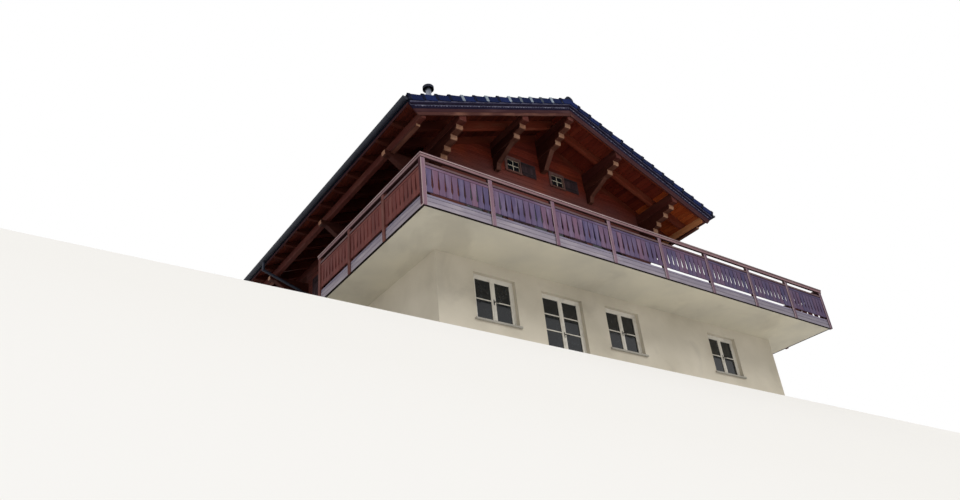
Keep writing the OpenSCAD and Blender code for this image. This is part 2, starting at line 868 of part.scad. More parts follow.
// How far the log ends of each console reach out, as parts of the balcony's depth
ridge_outs = [0.84, 0.65, 0.53];
mid_outs = [0.84, 0.66];
wall_outs = [0.83, 0.66, 0.46, 0.35];
eave_outs = [0.78];

// The ridge console stands over a steep bracket with a small foot
module ridge_bracket() {
    bracket(-3 * log_h, front_walk * 0.36, front_walk * 0.14, -log_h * 6);
    bracket(-log_h * 5.6, front_walk * 0.16, front_walk * 0.13, -log_h * 6.5);
}

// A middle console stands over a long, nearly flat bracket with a small foot
module mid_bracket() {
    bracket(-2 * log_h, front_walk * 0.54, front_walk * 0.1, -log_h * 4);
    bracket(-log_h * 3.8, front_walk * 0.12, front_walk * 0.08, -log_h * 5.2);
}

// A profile in u and v, w wide, set on the front gable wall under the purlin at x
module under_purlin(x, w) {
    translate([x - w / 2, y_front, purlin_low(x)]) rotate([90, 0, 90]) linear_extrude(w)
        mirror([1, 0]) children();
}

module one_gable_consoles() {
    under_purlin(0, purlin_w) log_ends(ridge_outs, log_h);
    under_purlin(0, console_w) ridge_bracket();
    for (x = [-mid_x, mid_x]) {
        under_purlin(x, purlin_w) log_ends(mid_outs, log_h);
        under_purlin(x, console_w) mid_bracket();
    }
    for (x = [-plate_x, plate_x]) under_purlin(x, purlin_w) log_ends(wall_outs, log_h);
    for (x = [-eave_x, eave_x]) under_purlin(x, eave_purlin_w) log_ends(eave_outs, eave_end_h);
}

module gable_consoles() {
    color("peru") both_ends() one_gable_consoles();
}

side_out = eave_purlin_out + purlin_w;

// A side console carries the eave purlin: a log end over a slanted bracket
module side_profile() {
    log_end(side_out, 0, log_h);
    bracket(-log_h, side_out * 0.86, 0, -log_h - side_out * 0.62);
}

module side_consoles() {
    color("saddlebrown") both_sides()
        for (y = [-wall_mid_y, 0, wall_mid_y])
            translate([x_right, y + timber_t / 2, purlin_low(eave_x)]) rotate([90, 0, 0])
                linear_extrude(timber_t) side_profile();
}

// A layer of one slope between two upright offsets from the tiles' top, from the ridge out to x
module slope_layer(x, top, bottom) {
    polygon([[0, ridge_z - top], [x, roof_z(x) - top], [x, roof_z(x) - bottom], [0, ridge_z - bottom]]);
}

// Pieces that meet under the ridge keep half of this from its plane
ridge_joint = 6;

// One side of a profile in X and Z, kept clear of the ridge joint
module right_of_joint() {
    intersection() {
        children();
        translate([ridge_joint / 2, 0]) square([2 * roof_x, 2 * ridge_z]);
    }
}

module rafter_pair(y) {
    both_sides() along_y(y - rafter_w / 2, y + rafter_w / 2) intersection() {
        right_of_joint() slope_layer(deck_x, rafter_off, under_off);
        translate([0, eave_cut]) square([deck_x, ridge_z]);
    }
}

module rafters() {
    color("chocolate") {
        for (i = [0:rafter_bays]) rafter_pair(-wall_mid_y + i * 2 * wall_mid_y / rafter_bays);
        for (y = [over_rafter_y, verge_rafter_y]) both_ends() rafter_pair(y);
    }
}

module roof_boards() {
    color("chocolate") both_sides() along_y(-deck_y, deck_y)
        right_of_joint() slope_layer(deck_x, deck_off, rafter_off);
}

// Everything above a line that falls inwards at 45 degrees from the eave: the verge's boards end at it
module above_end_cut() {
    z = eave_cut + tail_h / 2;
    polygon([[0, z - deck_x], [deck_x, z], [deck_x, ridge_z], [0, ridge_z]]);
}

// A board or strip that follows the verge, its outer face at y and its top under the tiles
module verge_layer(y, thick, high) {
    both_ends() both_sides() along_y(-y, -y + thick) intersection() {
        right_of_joint() slope_layer(deck_x, deck_off, deck_off + high);
        above_end_cut();
    }
}

module barge_boards() {
    color("saddlebrown") {
        verge_layer(verge_board_y, verge_board_t, verge_board_h);
        verge_layer(barge_y, barge_t, barge_h);
    }
}

module verge_strips() {
    color("silver") {
        verge_layer(upper_strip_y, strip_t, flap_h + upper_strip_show - deck_off);
        verge_layer(lower_strip_y, strip_t, verge_board_h + lower_strip_show);
    }
}

module eave_boards() {
    top = roof_z(lip_x) - deck_off;
    color("saddlebrown") both_sides()
        span([deck_x, -deck_y, top - eave_board_h], [lip_x, deck_y, top]);
}

// Roof covering

// The stepped outline of one slope's courses, closed below at an offset from their mean top
module course_outline(bottom) {
    polygon(concat(
        [for (i = [0:courses - 1]) each [
            [i * gauge, roof_z(i * gauge) - tile_step / 2],
            [(i + 1) * gauge, roof_z((i + 1) * gauge) + tile_step / 2]]],
        [[roof_x, roof_z(roof_x) - bottom], [0, ridge_z - bottom]]));
}

// Past the eave board only the lowest tiles' own thickness is left, over the gutter
module right_tiles() {
    color("darkslateblue") along_y(-roof_y + flap_t, roof_y - flap_t) difference() {
        course_outline(deck_off);
        polygon([[lip_x, 0], [roof_x + past, 0], [roof_x + past, roof_z(roof_x + past) - lip_off],
            [lip_x, roof_z(lip_x) - lip_off]]);
    }
}

module left_tiles() {
    mirror([1, 0, 0]) right_tiles();
}

module verge_tiles() {
    color("darkslateblue") both_ends() both_sides()
        along_y(-roof_y, -roof_y + flap_t) right_of_joint() course_outline(flap_h);
}

// The outline of everything below the courses, from which what stands on them is cut
module below_courses() {
    course_outline(ridge_z - slab_top);
    mirror([1, 0]) course_outline(ridge_z - slab_top);
}

ridge_lap = 60;
ridge_lip = 12;

// The ridge: round-backed tiles, each lapping the next with a thicker lip
module ridge_tiles() {
    count = floor(2 * roof_y / ridge_len);
    step = 2 * roof_y / count;
    color("darkslateblue") difference() {
        union() {
            along_y(-roof_y, roof_y) translate([0, ridge_z - ridge_r / 2]) circle(r = ridge_r);
            for (i = [0:count - 1])
                along_y(-roof_y + i * step, -roof_y + i * step + ridge_lap)
                    translate([0, ridge_z - ridge_r / 2]) circle(r = ridge_r + ridge_lip);
        }
        along_y(-roof_y - past, roof_y + past) below_courses();
    }
}

// Gutters, downpipes and flue

// How far a gutter's rim lies below the lowest tiles
gutter_drop = 6;
gutter_x = lip_x + gutter_r;
gutter_z = roof_z(roof_x) - lip_off - gutter_drop;
gutter_y = roof_y - flap_t;

module gutter() {
    along_y(-gutter_y, gutter_y) difference() {
        translate([gutter_x, gutter_z]) circle(r = gutter_r);
        translate([gutter_x, gutter_z]) circle(r = gutter_r - gutter_t);
        translate([gutter_x - gutter_r - past, gutter_z]) square([2 * (gutter_r + past), gutter_r + past]);
    }
    for (y = [-gutter_y, gutter_y - gutter_t])
        along_y(y, y + gutter_t) difference() {
            translate([gutter_x, gutter_z]) circle(r = gutter_r - gutter_t);
            translate([gutter_x - gutter_r - past, gutter_z]) square([2 * (gutter_r + past), gutter_r + past]);
        }
}

module gutters() {
    color("dimgray") both_sides() gutter();
}

// The pipe's place along the side walls, and its gap from them, which its brackets bridge
pipe_y = y_back - 300;
pipe_gap = 20;
bracket_h = 30;
// How far the elbows stand out round the pipe
elbow_lip = 5;

module downpipe() {
    x = x_right + pipe_gap + pipe_r;
    top = gutter_z - gutter_r;
    turn = top - 250;
    low = turn - 500;
    translate([gutter_x, pipe_y, turn]) cylinder(r = pipe_r, h = top - turn);
    translate([x, pipe_y, 0]) cylinder(r = pipe_r, h = low);
    translate([gutter_x, pipe_y, turn]) sphere(r = pipe_r + elbow_lip);
    translate([x, pipe_y, low]) sphere(r = pipe_r + elbow_lip);
    run = gutter_x - x;
    rise = turn - low;
    translate([x, pipe_y, low]) rotate([0, atan2(run, rise), 0]) cylinder(r = pipe_r, h = norm([run, rise]));
    for (z = [lower_h * 0.2, lower_h * 0.85, slab_top + upper_h * 0.4])
        span([x_right, pipe_y - bracket_h / 2, z], [x, pipe_y + bracket_h / 2, z + bracket_h]);
}

module downpipes() {
    color("dimgray") both_sides() downpipe();
}

flue_cap_t = 30;
flue_leg_r = 12;
flue_mouth = 60;

// The flue stands on the courses; its cap is carried on four legs over the pipe's mouth
module flue() {
    y = y_front + flue_y;
    top = roof_z(flue_x) + flue_h;
    color("silver") {
        difference() {
            translate([-flue_x, y, roof_z(flue_x) - flue_r])
                cylinder(r = flue_r, h = flue_h + flue_r - flue_mouth);
            translate([-flue_x, y, top - 3 * flue_mouth]) cylinder(r = flue_r - 2 * gutter_t, h = 3 * flue_mouth);
            along_y(y - 2 * flue_r, y + 2 * flue_r) below_courses();
        }
        translate([-flue_x, y, top]) cylinder(r = flue_cap_r, h = flue_cap_t);
        for (a = [45, 135, 225, 315])
            translate([-flue_x + (flue_r - flue_leg_r) * cos(a), y + (flue_r - flue_leg_r) * sin(a),
                top - 2 * flue_mouth]) cylinder(r = flue_leg_r, h = 2 * flue_mouth + flue_cap_t / 2);
    }
}

ground_floor();
lower_front_wall();
lower_left_wall();
lower_back_wall();
lower_right_wall();
wing_right_wall();
wing_back_wall();
lower_window_frames();
lower_glass();
terrace_slab();
front_fascia();
side_fascia();
back_fascia();
front_posts();
side_posts();
back_posts();
front_boards();
side_boards();
back_boards();
front_rails();
side_rails();
back_rails();
upper_front_wall();
upper_back_wall();
upper_left_wall();
upper_right_wall();
attic_floor();
upper_window_frames();
upper_glass();
shutters();
purlins();
gable_consoles();
side_consoles();
rafters();
roof_boards();
barge_boards();
verge_strips();
eave_boards();
left_tiles();
right_tiles();
verge_tiles();
ridge_tiles();
gutters();
downpipes();
flue();
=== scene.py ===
"""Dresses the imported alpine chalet: finishes, roof tiles, boards, windows and ironwork.

The CAD part is the fixed frame, in metres, with +Z up and +Y towards the back. Pieces that need a
finer shape than the solids stand for their nodes; the rest of the nodes only get their finish.
"""
import logging
import math
from dataclasses import dataclass, field
from enum import Enum
from typing import Callable, ClassVar, Iterable, Sequence

import bmesh
import bpy
import numpy as np
from bmesh.types import BMesh
from bpy.types import Material, Mesh, Node, NodeSocket, NodeTree
from mathutils import Matrix, Vector


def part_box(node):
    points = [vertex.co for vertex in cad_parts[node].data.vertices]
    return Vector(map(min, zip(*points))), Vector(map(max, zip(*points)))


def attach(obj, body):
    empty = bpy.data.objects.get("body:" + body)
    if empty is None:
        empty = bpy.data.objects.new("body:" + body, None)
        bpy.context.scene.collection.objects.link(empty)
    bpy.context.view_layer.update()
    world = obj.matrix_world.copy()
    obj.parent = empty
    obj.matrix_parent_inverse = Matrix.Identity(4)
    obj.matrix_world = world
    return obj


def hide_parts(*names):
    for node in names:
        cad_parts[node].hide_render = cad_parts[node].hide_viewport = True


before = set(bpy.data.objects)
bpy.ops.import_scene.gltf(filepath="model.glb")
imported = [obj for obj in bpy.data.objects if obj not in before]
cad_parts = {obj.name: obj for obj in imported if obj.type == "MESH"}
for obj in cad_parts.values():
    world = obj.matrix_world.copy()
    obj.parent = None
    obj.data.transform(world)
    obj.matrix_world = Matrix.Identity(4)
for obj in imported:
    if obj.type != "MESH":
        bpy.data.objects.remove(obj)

LOG = logging.getLogger("chalet")
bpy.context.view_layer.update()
MM = 0.001
ROOF_PITCH = math.radians(22.2)

Colour = tuple[float, float, float, float]
Pair = tuple[float, float]


def srgb(code: str) -> Colour:
    """Turns an sRGB hex value into a linear colour.

    Args:
        code: A hash and six hex digits.

    Returns:
        Red, green, blue and alpha, linear.
    """
    parts = [int(code[i:i + 2], 16) / 255 for i in (1, 3, 5)]
    return (*(p / 12.92 if p <= 0.04045 else ((p + 0.055) / 1.055) ** 2.4 for p in parts), 1.0)


def feed(tree: NodeTree, node: Node, inputs: dict) -> None:
    """Links or sets a node's inputs.

    Args:
        tree: The node's tree.
        node: The node.
        inputs: For an input's name or index, the socket that feeds it or the value it holds.
    """
    for key, value in inputs.items():
        if isinstance(value, NodeSocket):
            tree.links.new(value, node.inputs[key])
        else:
            node.inputs[key].default_value = value


def add_node(tree: NodeTree, kind: str, inputs: dict | None = None, out: str | int = 0,
             **settings) -> NodeSocket | None:
    """Adds a node with its settings and links.

    Args:
        tree: The tree that gets the node.
        kind: The node's type.
        inputs: For an input's name or index, the socket that feeds it or the value it holds.
        out: Name or index of the output that is asked for.
        **settings: Attributes of the node, set before its inputs.

    Returns:
        That output, or None for a node that has none.
    """
    made = tree.nodes.new(kind)
    for name, value in settings.items():
        setattr(made, name, value)
    feed(tree, made, inputs or {})
    return made.outputs[out] if made.outputs else None


def coated(tree: NodeTree, colour: NodeSocket | Colour,
           coats: Sequence[tuple[NodeSocket, float, float, float, NodeSocket | Colour]]) -> NodeSocket:
    """Lays coats of other colours over a colour, each where its pattern is strong.

    Args:
        tree: The node tree.
        colour: The lowest colour.
        coats: For each coat its pattern, the values where it starts and where it is full, its share
            of the colour there, and its own colour.

    Returns:
        The colour's socket.
    """
    for pattern, start, full, share, over in coats:
        mask = add_node(tree, "ShaderNodeMapRange",
                        {"Value": pattern, "From Min": start, "From Max": full, "To Max": share})
        colour = add_node(tree, "ShaderNodeMix", {0: mask, 6: colour, 7: over}, 2, data_type="RGBA")
    return colour


class Grain(Enum):
    """Which way the fibres of a piece of timber run."""

    ALONG_X = "x"
    ALONG_Y = "y"
    UPRIGHT = "z"
    DOWN_SLOPE = "slope"


@dataclass(frozen=True)
class Finish:
    """A material with its name; each kind of finish builds its own nodes."""

    name: str
    made: ClassVar[dict[str, Material]] = {}

    def material(self) -> Material:
        """Makes the finish's material, once.

        Returns:
            The material.
        """
        if self.name not in Finish.made:
            material = bpy.data.materials.new(self.name)
            material.use_nodes = True
            tree = material.node_tree
            feed(tree, tree.nodes["Principled BSDF"], self.build(tree))
            Finish.made[self.name] = material
        return Finish.made[self.name]

    def build(self, tree: NodeTree) -> dict:
        """Builds the finish's nodes.

        Args:
            tree: The material's node tree.

        Returns:
            What each input of the shader gets.
        """
        raise NotImplementedError


@dataclass(frozen=True)
class StainedTimber(Finish):
    """Planed softwood with a stain that the weather has worn: the fibres show as fine streaks along
    the grain, single boards differ in tone, and the worn places are paler and rougher. Towards one
    end along X, a timber can take on a painted shade."""

    low: str
    high: str
    fibre: str
    worn: str
    wear: float
    fibre_share: float = 0.45
    roughness: float = 0.7
    specular: float = 0.15
    # Streaks of real fibres are about 1 mm wide; these are drawn as wide as the view can show
    fibre_mm: float = 9.0
    streak_mm: float = 420.0
    patch_mm: float = 700.0
    patch_ratio: float = 4.0
    relief_mm: float = 0.8
    # The last three fields lay a painted shade that grows along X: its colour, its most share, and where
    # along X it starts and where it is full; there is none when the colour is empty
    kept: str = ""
    painted_shade_share: float = 0.5
    painted_shade_x: Pair = (0.0, 6.0)

    def build(self, tree: NodeTree) -> dict:
        """Builds the timber's nodes on the piece's own grain coordinates.

        Args:
            tree: The material's node tree.

        Returns:
            What each input of the shader gets.
        """
        grain = add_node(tree, "ShaderNodeAttribute", out="Vector", attribute_name="grain")
        tint = add_node(tree, "ShaderNodeAttribute", out="Fac", attribute_name="tint")
        along, across, patch = (1 / (size * MM) for size in (self.streak_mm, self.fibre_mm, self.patch_mm))
        narrow = patch * self.patch_ratio
        lie = add_node(tree, "ShaderNodeMapping", {"Vector": grain, "Scale": (along, across, across)})
        fibres = add_node(tree, "ShaderNodeTexNoise", {"Vector": lie, "Scale": 1.0, "Detail": 4.0,
                                                       "Roughness": 0.62, "Distortion": 0.35})
        spread = add_node(tree, "ShaderNodeMapping", {"Vector": grain, "Scale": (patch, narrow, narrow)})
        patches = add_node(tree, "ShaderNodeTexNoise", {"Vector": spread, "Scale": 1.0, "Detail": 3.0})
        coats = [(tint, 0.0, 1.0, 1.0, srgb(self.high)),
                 (fibres, 0.42, 0.72, self.fibre_share, srgb(self.fibre)),
                 (patches, 0.48, 0.72, self.wear, srgb(self.worn))]
        # A painted shade that grows along X
        if self.kept:
            place = add_node(tree, "ShaderNodeTexCoord", out="Object")
            right = add_node(tree, "ShaderNodeSeparateXYZ", {0: place}, "X")
            coats.append((right, *self.painted_shade_x, self.painted_shade_share, srgb(self.kept)))
        rough = add_node(tree, "ShaderNodeMapRange",
                         {"Value": fibres, "From Min": 0.3, "From Max": 0.75,
                          "To Min": self.roughness - 0.1, "To Max": self.roughness + 0.12})
        bump = add_node(tree, "ShaderNodeBump",
                        {"Height": fibres, "Distance": self.relief_mm * MM, "Strength": 0.7})
        return {"Base Color": coated(tree, srgb(self.low), coats), "Roughness": rough, "Normal": bump,
                "Specular IOR Level": self.specular}


@dataclass(frozen=True)
class LogTimber(Finish):
    """Squared logs laid on each other, stained red-brown and darkened by smoke and sun: each log has its
    own tone, with fibres along it, and the lower ones turn a brown grey that fades out higher up."""

    run: Grain
    low: str = "#571d14"
    high: str = "#772d1e"
    fibre: str = "#2f0e0a"
    warm: str = "#963f1d"
    grey: str = "#5e4746"
    log_mm: float = 130.0
    top_mm: float = 6758.7
    # The grey fades out between these heights, up to 0.6 m lower where the broad pattern is strong
    grey_top_mm: float = 6100.0
    grey_low_mm: float = 5650.0
    # Real fibres are about 1 mm wide; these are drawn as wide as the view can show
    fibre_mm: float = 10.0
    streak_mm: float = 700.0
    broad_mm: float = 1000 / 0.9

    def build(self, tree: NodeTree) -> dict:
        """Builds the logs' nodes on Object coordinates; the courses are told apart by height.

        Args:
            tree: The material's node tree.

        Returns:
            What each input of the shader gets.
        """
        place = add_node(tree, "ShaderNodeTexCoord", out="Object")
        along, across = 1 / (self.streak_mm * MM), 1 / (self.fibre_mm * MM)
        scale = (along, across, across) if self.run is Grain.ALONG_X else (across, along, across)
        lie = add_node(tree, "ShaderNodeMapping", {"Vector": place, "Scale": scale})
        fibres = add_node(tree, "ShaderNodeTexNoise", {"Vector": lie, "Scale": 1.0, "Detail": 4.0,
                                                       "Roughness": 0.6, "Distortion": 0.3})
        height = add_node(tree, "ShaderNodeSeparateXYZ", {0: place}, "Z")
        down = add_node(tree, "ShaderNodeMath", {0: self.top_mm * MM, 1: height}, operation="SUBTRACT")
        course = add_node(tree, "ShaderNodeMath", {0: down, 1: self.log_mm * MM}, operation="DIVIDE")
        number = add_node(tree, "ShaderNodeMath", {0: course}, operation="FLOOR")
        tone = add_node(tree, "ShaderNodeTexWhiteNoise", {"W": number}, "Value", noise_dimensions="1D")
        broad = add_node(tree, "ShaderNodeTexNoise",
                         {"Vector": place, "Scale": 1 / (self.broad_mm * MM), "Detail": 2.0})
        sunk = add_node(tree, "ShaderNodeMath", {0: broad, 1: 0.6, 2: height}, operation="MULTIPLY_ADD")
        coats = [(tone, 0.0, 1.0, 1.0, srgb(self.high)), (broad, 0.45, 0.7, 0.5, srgb(self.warm)),
                 (sunk, self.grey_top_mm * MM, self.grey_low_mm * MM, 0.5, srgb(self.grey)),
                 (fibres, 0.45, 0.75, 0.55, srgb(self.fibre))]
        rough = add_node(tree, "ShaderNodeMapRange",
                         {"Value": fibres, "From Min": 0.3, "From Max": 0.7, "To Min": 0.62, "To Max": 0.8})
        bump = add_node(tree, "ShaderNodeBump", {"Height": fibres, "Distance": 1.2 * MM, "Strength": 0.8})
        return {"Base Color": coated(tree, srgb(self.low), coats), "Roughness": rough, "Normal": bump,
                "Specular IOR Level": 0.15}


@dataclass(frozen=True)
class MineralPlaster(Finish):
    """Float-finished mineral plaster under a silicate paint: matt, with a fine grit, slow changes of tone
    and, where water gets to it, grey stains with a darker rim."""

    base: str
    shade: str
    stain: str = "#7f776c"
    stain_share: float = 0.2
    stain_mm: float = 1600.0
    tone_mm: float = 1000 / 0.7
    # Real grit is about 2 mm wide; it is drawn as coarse as the view can show
    grit_mm: float = 12.0
    relief_mm: float = 0.7

    def build(self, tree: NodeTree) -> dict:
        """Builds the plaster's nodes on Object coordinates.

        Args:
            tree: The material's node tree.

        Returns:
            What each input of the shader gets.
        """
        place = add_node(tree, "ShaderNodeTexCoord", out="Object")
        grit = add_node(tree, "ShaderNodeTexNoise", {"Vector": place, "Scale": 1 / (self.grit_mm * MM),
                                                     "Detail": 3.0, "Roughness": 0.7})
        bump = add_node(tree, "ShaderNodeBump",
                        {"Height": grit, "Distance": self.relief_mm * MM, "Strength": 0.6})
        gritty = coated(tree, self.coat(tree, place), [(grit, 0.55, 0.8, 0.25, srgb(self.shade))])
        return {"Base Color": gritty, "Roughness": 0.9, "Normal": bump, "Specular IOR Level": 0.25}

    def coat(self, tree: NodeTree, place: NodeSocket) -> NodeSocket:
        """Builds the paint's colour with its stains.

        Args:
            tree: The material's node tree.
            place: The Object coordinates.

        Returns:
            The colour's socket.
        """
        broad = add_node(tree, "ShaderNodeTexNoise",
                         {"Vector": place, "Scale": 1 / (self.tone_mm * MM), "Detail": 4.0})
        seep = add_node(tree, "ShaderNodeTexNoise", {"Vector": place, "Scale": 1 / (self.stain_mm * MM),
                                                     "Detail": 6.0, "Roughness": 0.55, "Distortion": 0.6})
        return coated(tree, srgb(self.base), [(broad, 0.35, 0.65, 1.0, srgb(self.shade)),
                                              (seep, 0.56, 0.66, self.stain_share, srgb(self.stain))])


@dataclass(frozen=True)
class PavedPlaster(MineralPlaster):
    """The terrace slab: painted plaster below, upright edges behind the fascia darkened with painted shade,
    and frost-proof stoneware tiles with grey joints on top."""

    paver: str = "#9a8f82"
    paver_dark: str = "#897e72"
    grout: str = "#6a655e"
    # The painted shade on the slab's upright edges behind the fascia
    drip: str = "#3a3431"
    paver_mm: float = 300.0
    joint_mm: float = 4.0

    def coat(self, tree: NodeTree, place: NodeSocket) -> NodeSocket:
        """Builds the colour: the faces that look up get the stoneware, and the upright ones the painted
        shade.

        Args:
            tree: The material's node tree.
            place: The Object coordinates.

        Returns:
            The colour's socket.
        """
        size = self.paver_mm * MM
        laid = add_node(tree, "ShaderNodeTexBrick",
                        {"Vector": place, "Color1": srgb(self.paver), "Color2": srgb(self.paver_dark),
                         "Mortar": srgb(self.grout), "Scale": 1.0, "Mortar Size": self.joint_mm * MM,
                         "Brick Width": size, "Row Height": size}, "Color", offset=0.0)
        facing = add_node(tree, "ShaderNodeNewGeometry", out="True Normal")
        up = add_node(tree, "ShaderNodeSeparateXYZ", {0: facing}, "Z")
        level = add_node(tree, "ShaderNodeMath", {0: up}, operation="ABSOLUTE")
        return coated(tree, srgb(self.drip), [(level, 0.4, 0.6, 1.0, super().coat(tree, place)),
                                              (up, 0.4, 0.6, 1.0, laid)])


@dataclass(frozen=True)
class EngobedClay(Finish):
    """Pressed clay roof tile with a dark blue-grey engobe: a dull satin skin over a fine sandy body, with
    tiles of slightly different firings and a pale bloom of lichen where they stay damp."""

    low: str = "#181d2d"
    high: str = "#272e41"
    bloom: str = "#5d687e"
    bloom_share: float = 0.2
    bloom_mm: float = 160.0
    # Real sand is under 1 mm; it is drawn as coarse as the view can show
    sand_mm: float = 25 / 3
    roughness: float = 0.55
    specular: float = 0.06
    firings: Pair = (0.0, 1.0)

    def build(self, tree: NodeTree) -> dict:
        """Builds the tile's nodes on Object coordinates and each tile's tint.

        Args:
            tree: The material's node tree.

        Returns:
            What each input of the shader gets.
        """
        place = add_node(tree, "ShaderNodeTexCoord", out="Object")
        tint = add_node(tree, "ShaderNodeAttribute", out="Fac", attribute_name="tint")
        sand = add_node(tree, "ShaderNodeTexNoise",
                        {"Vector": place, "Scale": 1 / (self.sand_mm * MM), "Detail": 3.0,
                         "Roughness": 0.7})
        growth = add_node(tree, "ShaderNodeTexNoise", {"Vector": place, "Scale": 1 / (self.bloom_mm * MM),
                                                       "Detail": 7.0, "Roughness": 0.7})
        colour = coated(tree, srgb(self.low), [(tint, *self.firings, 1.0, srgb(self.high)),
                                               (growth, 0.58, 0.72, self.bloom_share, srgb(self.bloom))])
        rough = add_node(tree, "ShaderNodeMapRange",
                         {"Value": growth, "From Min": 0.4, "From Max": 0.7,
                          "To Min": self.roughness, "To Max": self.roughness + 0.25})
        bump = add_node(tree, "ShaderNodeBump", {"Height": sand, "Distance": 0.6 * MM, "Strength": 0.5})
        return {"Base Color": colour, "Roughness": rough, "Normal": bump, "Specular IOR Level": self.specular}


@dataclass(frozen=True)
class SheetMetal(Finish):
    """Folded sheet metal, left bare or coated: even and smooth, with faint runs of dirt down it and dull
    patches where rain dries."""

    base: str
    dull: str
    metallic: float
    roughness: float
    run_mm: float = 60.0
    run_ratio: float = 8.0

    def build(self, tree: NodeTree) -> dict:
        """Builds the sheet's nodes on Object coordinates.

        Args:
            tree: The material's node tree.

        Returns:
            What each input of the shader gets.
        """
        place = add_node(tree, "ShaderNodeTexCoord", out="Object")
        across = 1 / (self.run_mm * MM)
        down = across / self.run_ratio
        lie = add_node(tree, "ShaderNodeMapping", {"Vector": place, "Scale": (across, across, down)})
        runs = add_node(tree, "ShaderNodeTexNoise",
                        {"Vector": lie, "Scale": 1.0, "Detail": 5.0, "Roughness": 0.6})
        rough = add_node(tree, "ShaderNodeMapRange",
                         {"Value": runs, "From Min": 0.4, "From Max": 0.75,
                          "To Min": self.roughness, "To Max": self.roughness + 0.25})
        bump = add_node(tree, "ShaderNodeBump", {"Height": runs, "Distance": 0.5 * MM, "Strength": 0.3})
        return {"Base Color": coated(tree, srgb(self.base), [(runs, 0.45, 0.75, 0.7, srgb(self.dull))]),
                "Roughness": rough, "Normal": bump, "Metallic": self.metallic}


@dataclass(frozen=True)
class BrushedPaint(Finish):
    """Alkyd paint brushed on joinery: satin, with brush marks and a little grime in patches."""

    base: str = "#d8d3c8"
    grime: str = "#a59d90"
    # Real brush marks are about 1 mm wide; they are drawn as wide as the view can show
    mark_mm: float = 14.0
    grime_mm: float = 200.0

    def build(self, tree: NodeTree) -> dict:
        """Builds the paint's nodes on Object coordinates.

        Args:
            tree: The material's node tree.

        Returns:
            What each input of the shader gets.
        """
        place = add_node(tree, "ShaderNodeTexCoord", out="Object")
        marks = add_node(tree, "ShaderNodeTexNoise",
                         {"Vector": place, "Scale": 1 / (self.mark_mm * MM), "Detail": 3.0})
        dirt = add_node(tree, "ShaderNodeTexNoise",
                        {"Vector": place, "Scale": 1 / (self.grime_mm * MM), "Detail": 5.0})
        rough = add_node(tree, "ShaderNodeMapRange",
                         {"Value": marks, "From Min": 0.3, "From Max": 0.7, "To Min": 0.38, "To Max": 0.55})
        bump = add_node(tree, "ShaderNodeBump", {"Height": marks, "Distance": 0.3 * MM, "Strength": 0.4})
        return {"Base Color": coated(tree, srgb(self.base), [(dirt, 0.5, 0.75, 0.5, srgb(self.grime))]),
                "Roughness": rough, "Normal": bump}


@dataclass(frozen=True)
class DarkPane(Finish):
    """Float glass in front of an unlit room: nearly black, with a sharp gloss, a slight waviness and
    a film of dust."""

    base: str = "#14171b"
    film: str = "#3a3f44"
    wave_mm: float = 1000 / 3
    film_mm: float = 1000 / 9

    def build(self, tree: NodeTree) -> dict:
        """Builds the pane's nodes on Object coordinates.

        Args:
            tree: The material's node tree.

        Returns:
            What each input of the shader gets.
        """
        place = add_node(tree, "ShaderNodeTexCoord", out="Object")
        wave = add_node(tree, "ShaderNodeTexNoise",
                        {"Vector": place, "Scale": 1 / (self.wave_mm * MM), "Detail": 1.0})
        dust = add_node(tree, "ShaderNodeTexNoise",
                        {"Vector": place, "Scale": 1 / (self.film_mm * MM), "Detail": 5.0})
        rough = add_node(tree, "ShaderNodeMapRange",
                         {"Value": dust, "From Min": 0.45, "From Max": 0.8, "To Min": 0.04, "To Max": 0.2})
        bump = add_node(tree, "ShaderNodeBump", {"Height": wave, "Distance": 1.0 * MM, "Strength": 0.2})
        return {"Base Color": coated(tree, srgb(self.base), [(dust, 0.5, 0.8, 0.35, srgb(self.film))]),
                "Roughness": rough, "Normal": bump, "IOR": 1.5, "Specular IOR Level": 0.35}


# A timber's four colours are the two that its boards range between, its fibres and its worn places, and
# the number tells how far it is worn
# The left slope's boards carry a deeper painted shade
SOFFIT_SHADED = StainedTimber("soffit_board_stained_painted_shade", "#45160d", "#5a2011", "#260b07", "#6a2e18", 0.25)
# Under the roof the red-brown stain is still deep in colour; on the right slope the boards carry a warmer
# painted sunlight
SOFFIT_PAINTED_SUNLIGHT = StainedTimber("soffit_board_painted_sunlight", "#5c1c12", "#782b1b", "#300e0a", "#86402a", 0.35)
# Outside the last console the boards carry a pale painted light, standing for the light that the terrace
# throws back
SOFFIT_PAINTED_BOUNCE_LIGHT = StainedTimber("soffit_board_painted_bounce_light", "#a8481f", "#c4602e", "#5c220e", "#d08048", 0.35)
# Towards the left eave the rafters darken to a painted shade
RAFTER_WOOD = StainedTimber("rafter_spruce_stained_painted_shade", "#6a2c1e", "#7c3624", "#38150e", "#8c5842", 0.3,
                            specular=0.08, kept="#2c0f0a", painted_shade_share=0.85, painted_shade_x=(-2.8, -4.0))
PURLIN_WOOD = StainedTimber("purlin_spruce_stained", "#431a16", "#55251d", "#260e0b", "#704a3c", 0.3)
# The inner side of the right-hand eave purlin carries a pale painted sunlight
PURLIN_PAINTED_SUNLIGHT = StainedTimber("purlin_spruce_painted_sunlight", "#cf8655", "#df9e6e", "#8a4e2e", "#e6b48a", 0.35)
# The consoles' sides carry a dark painted shade
CONSOLE_SIDE_SHADE = StainedTimber("console_side_painted_shade", "#33140e", "#441b13", "#1c0a07", "#5c3426", 0.25)
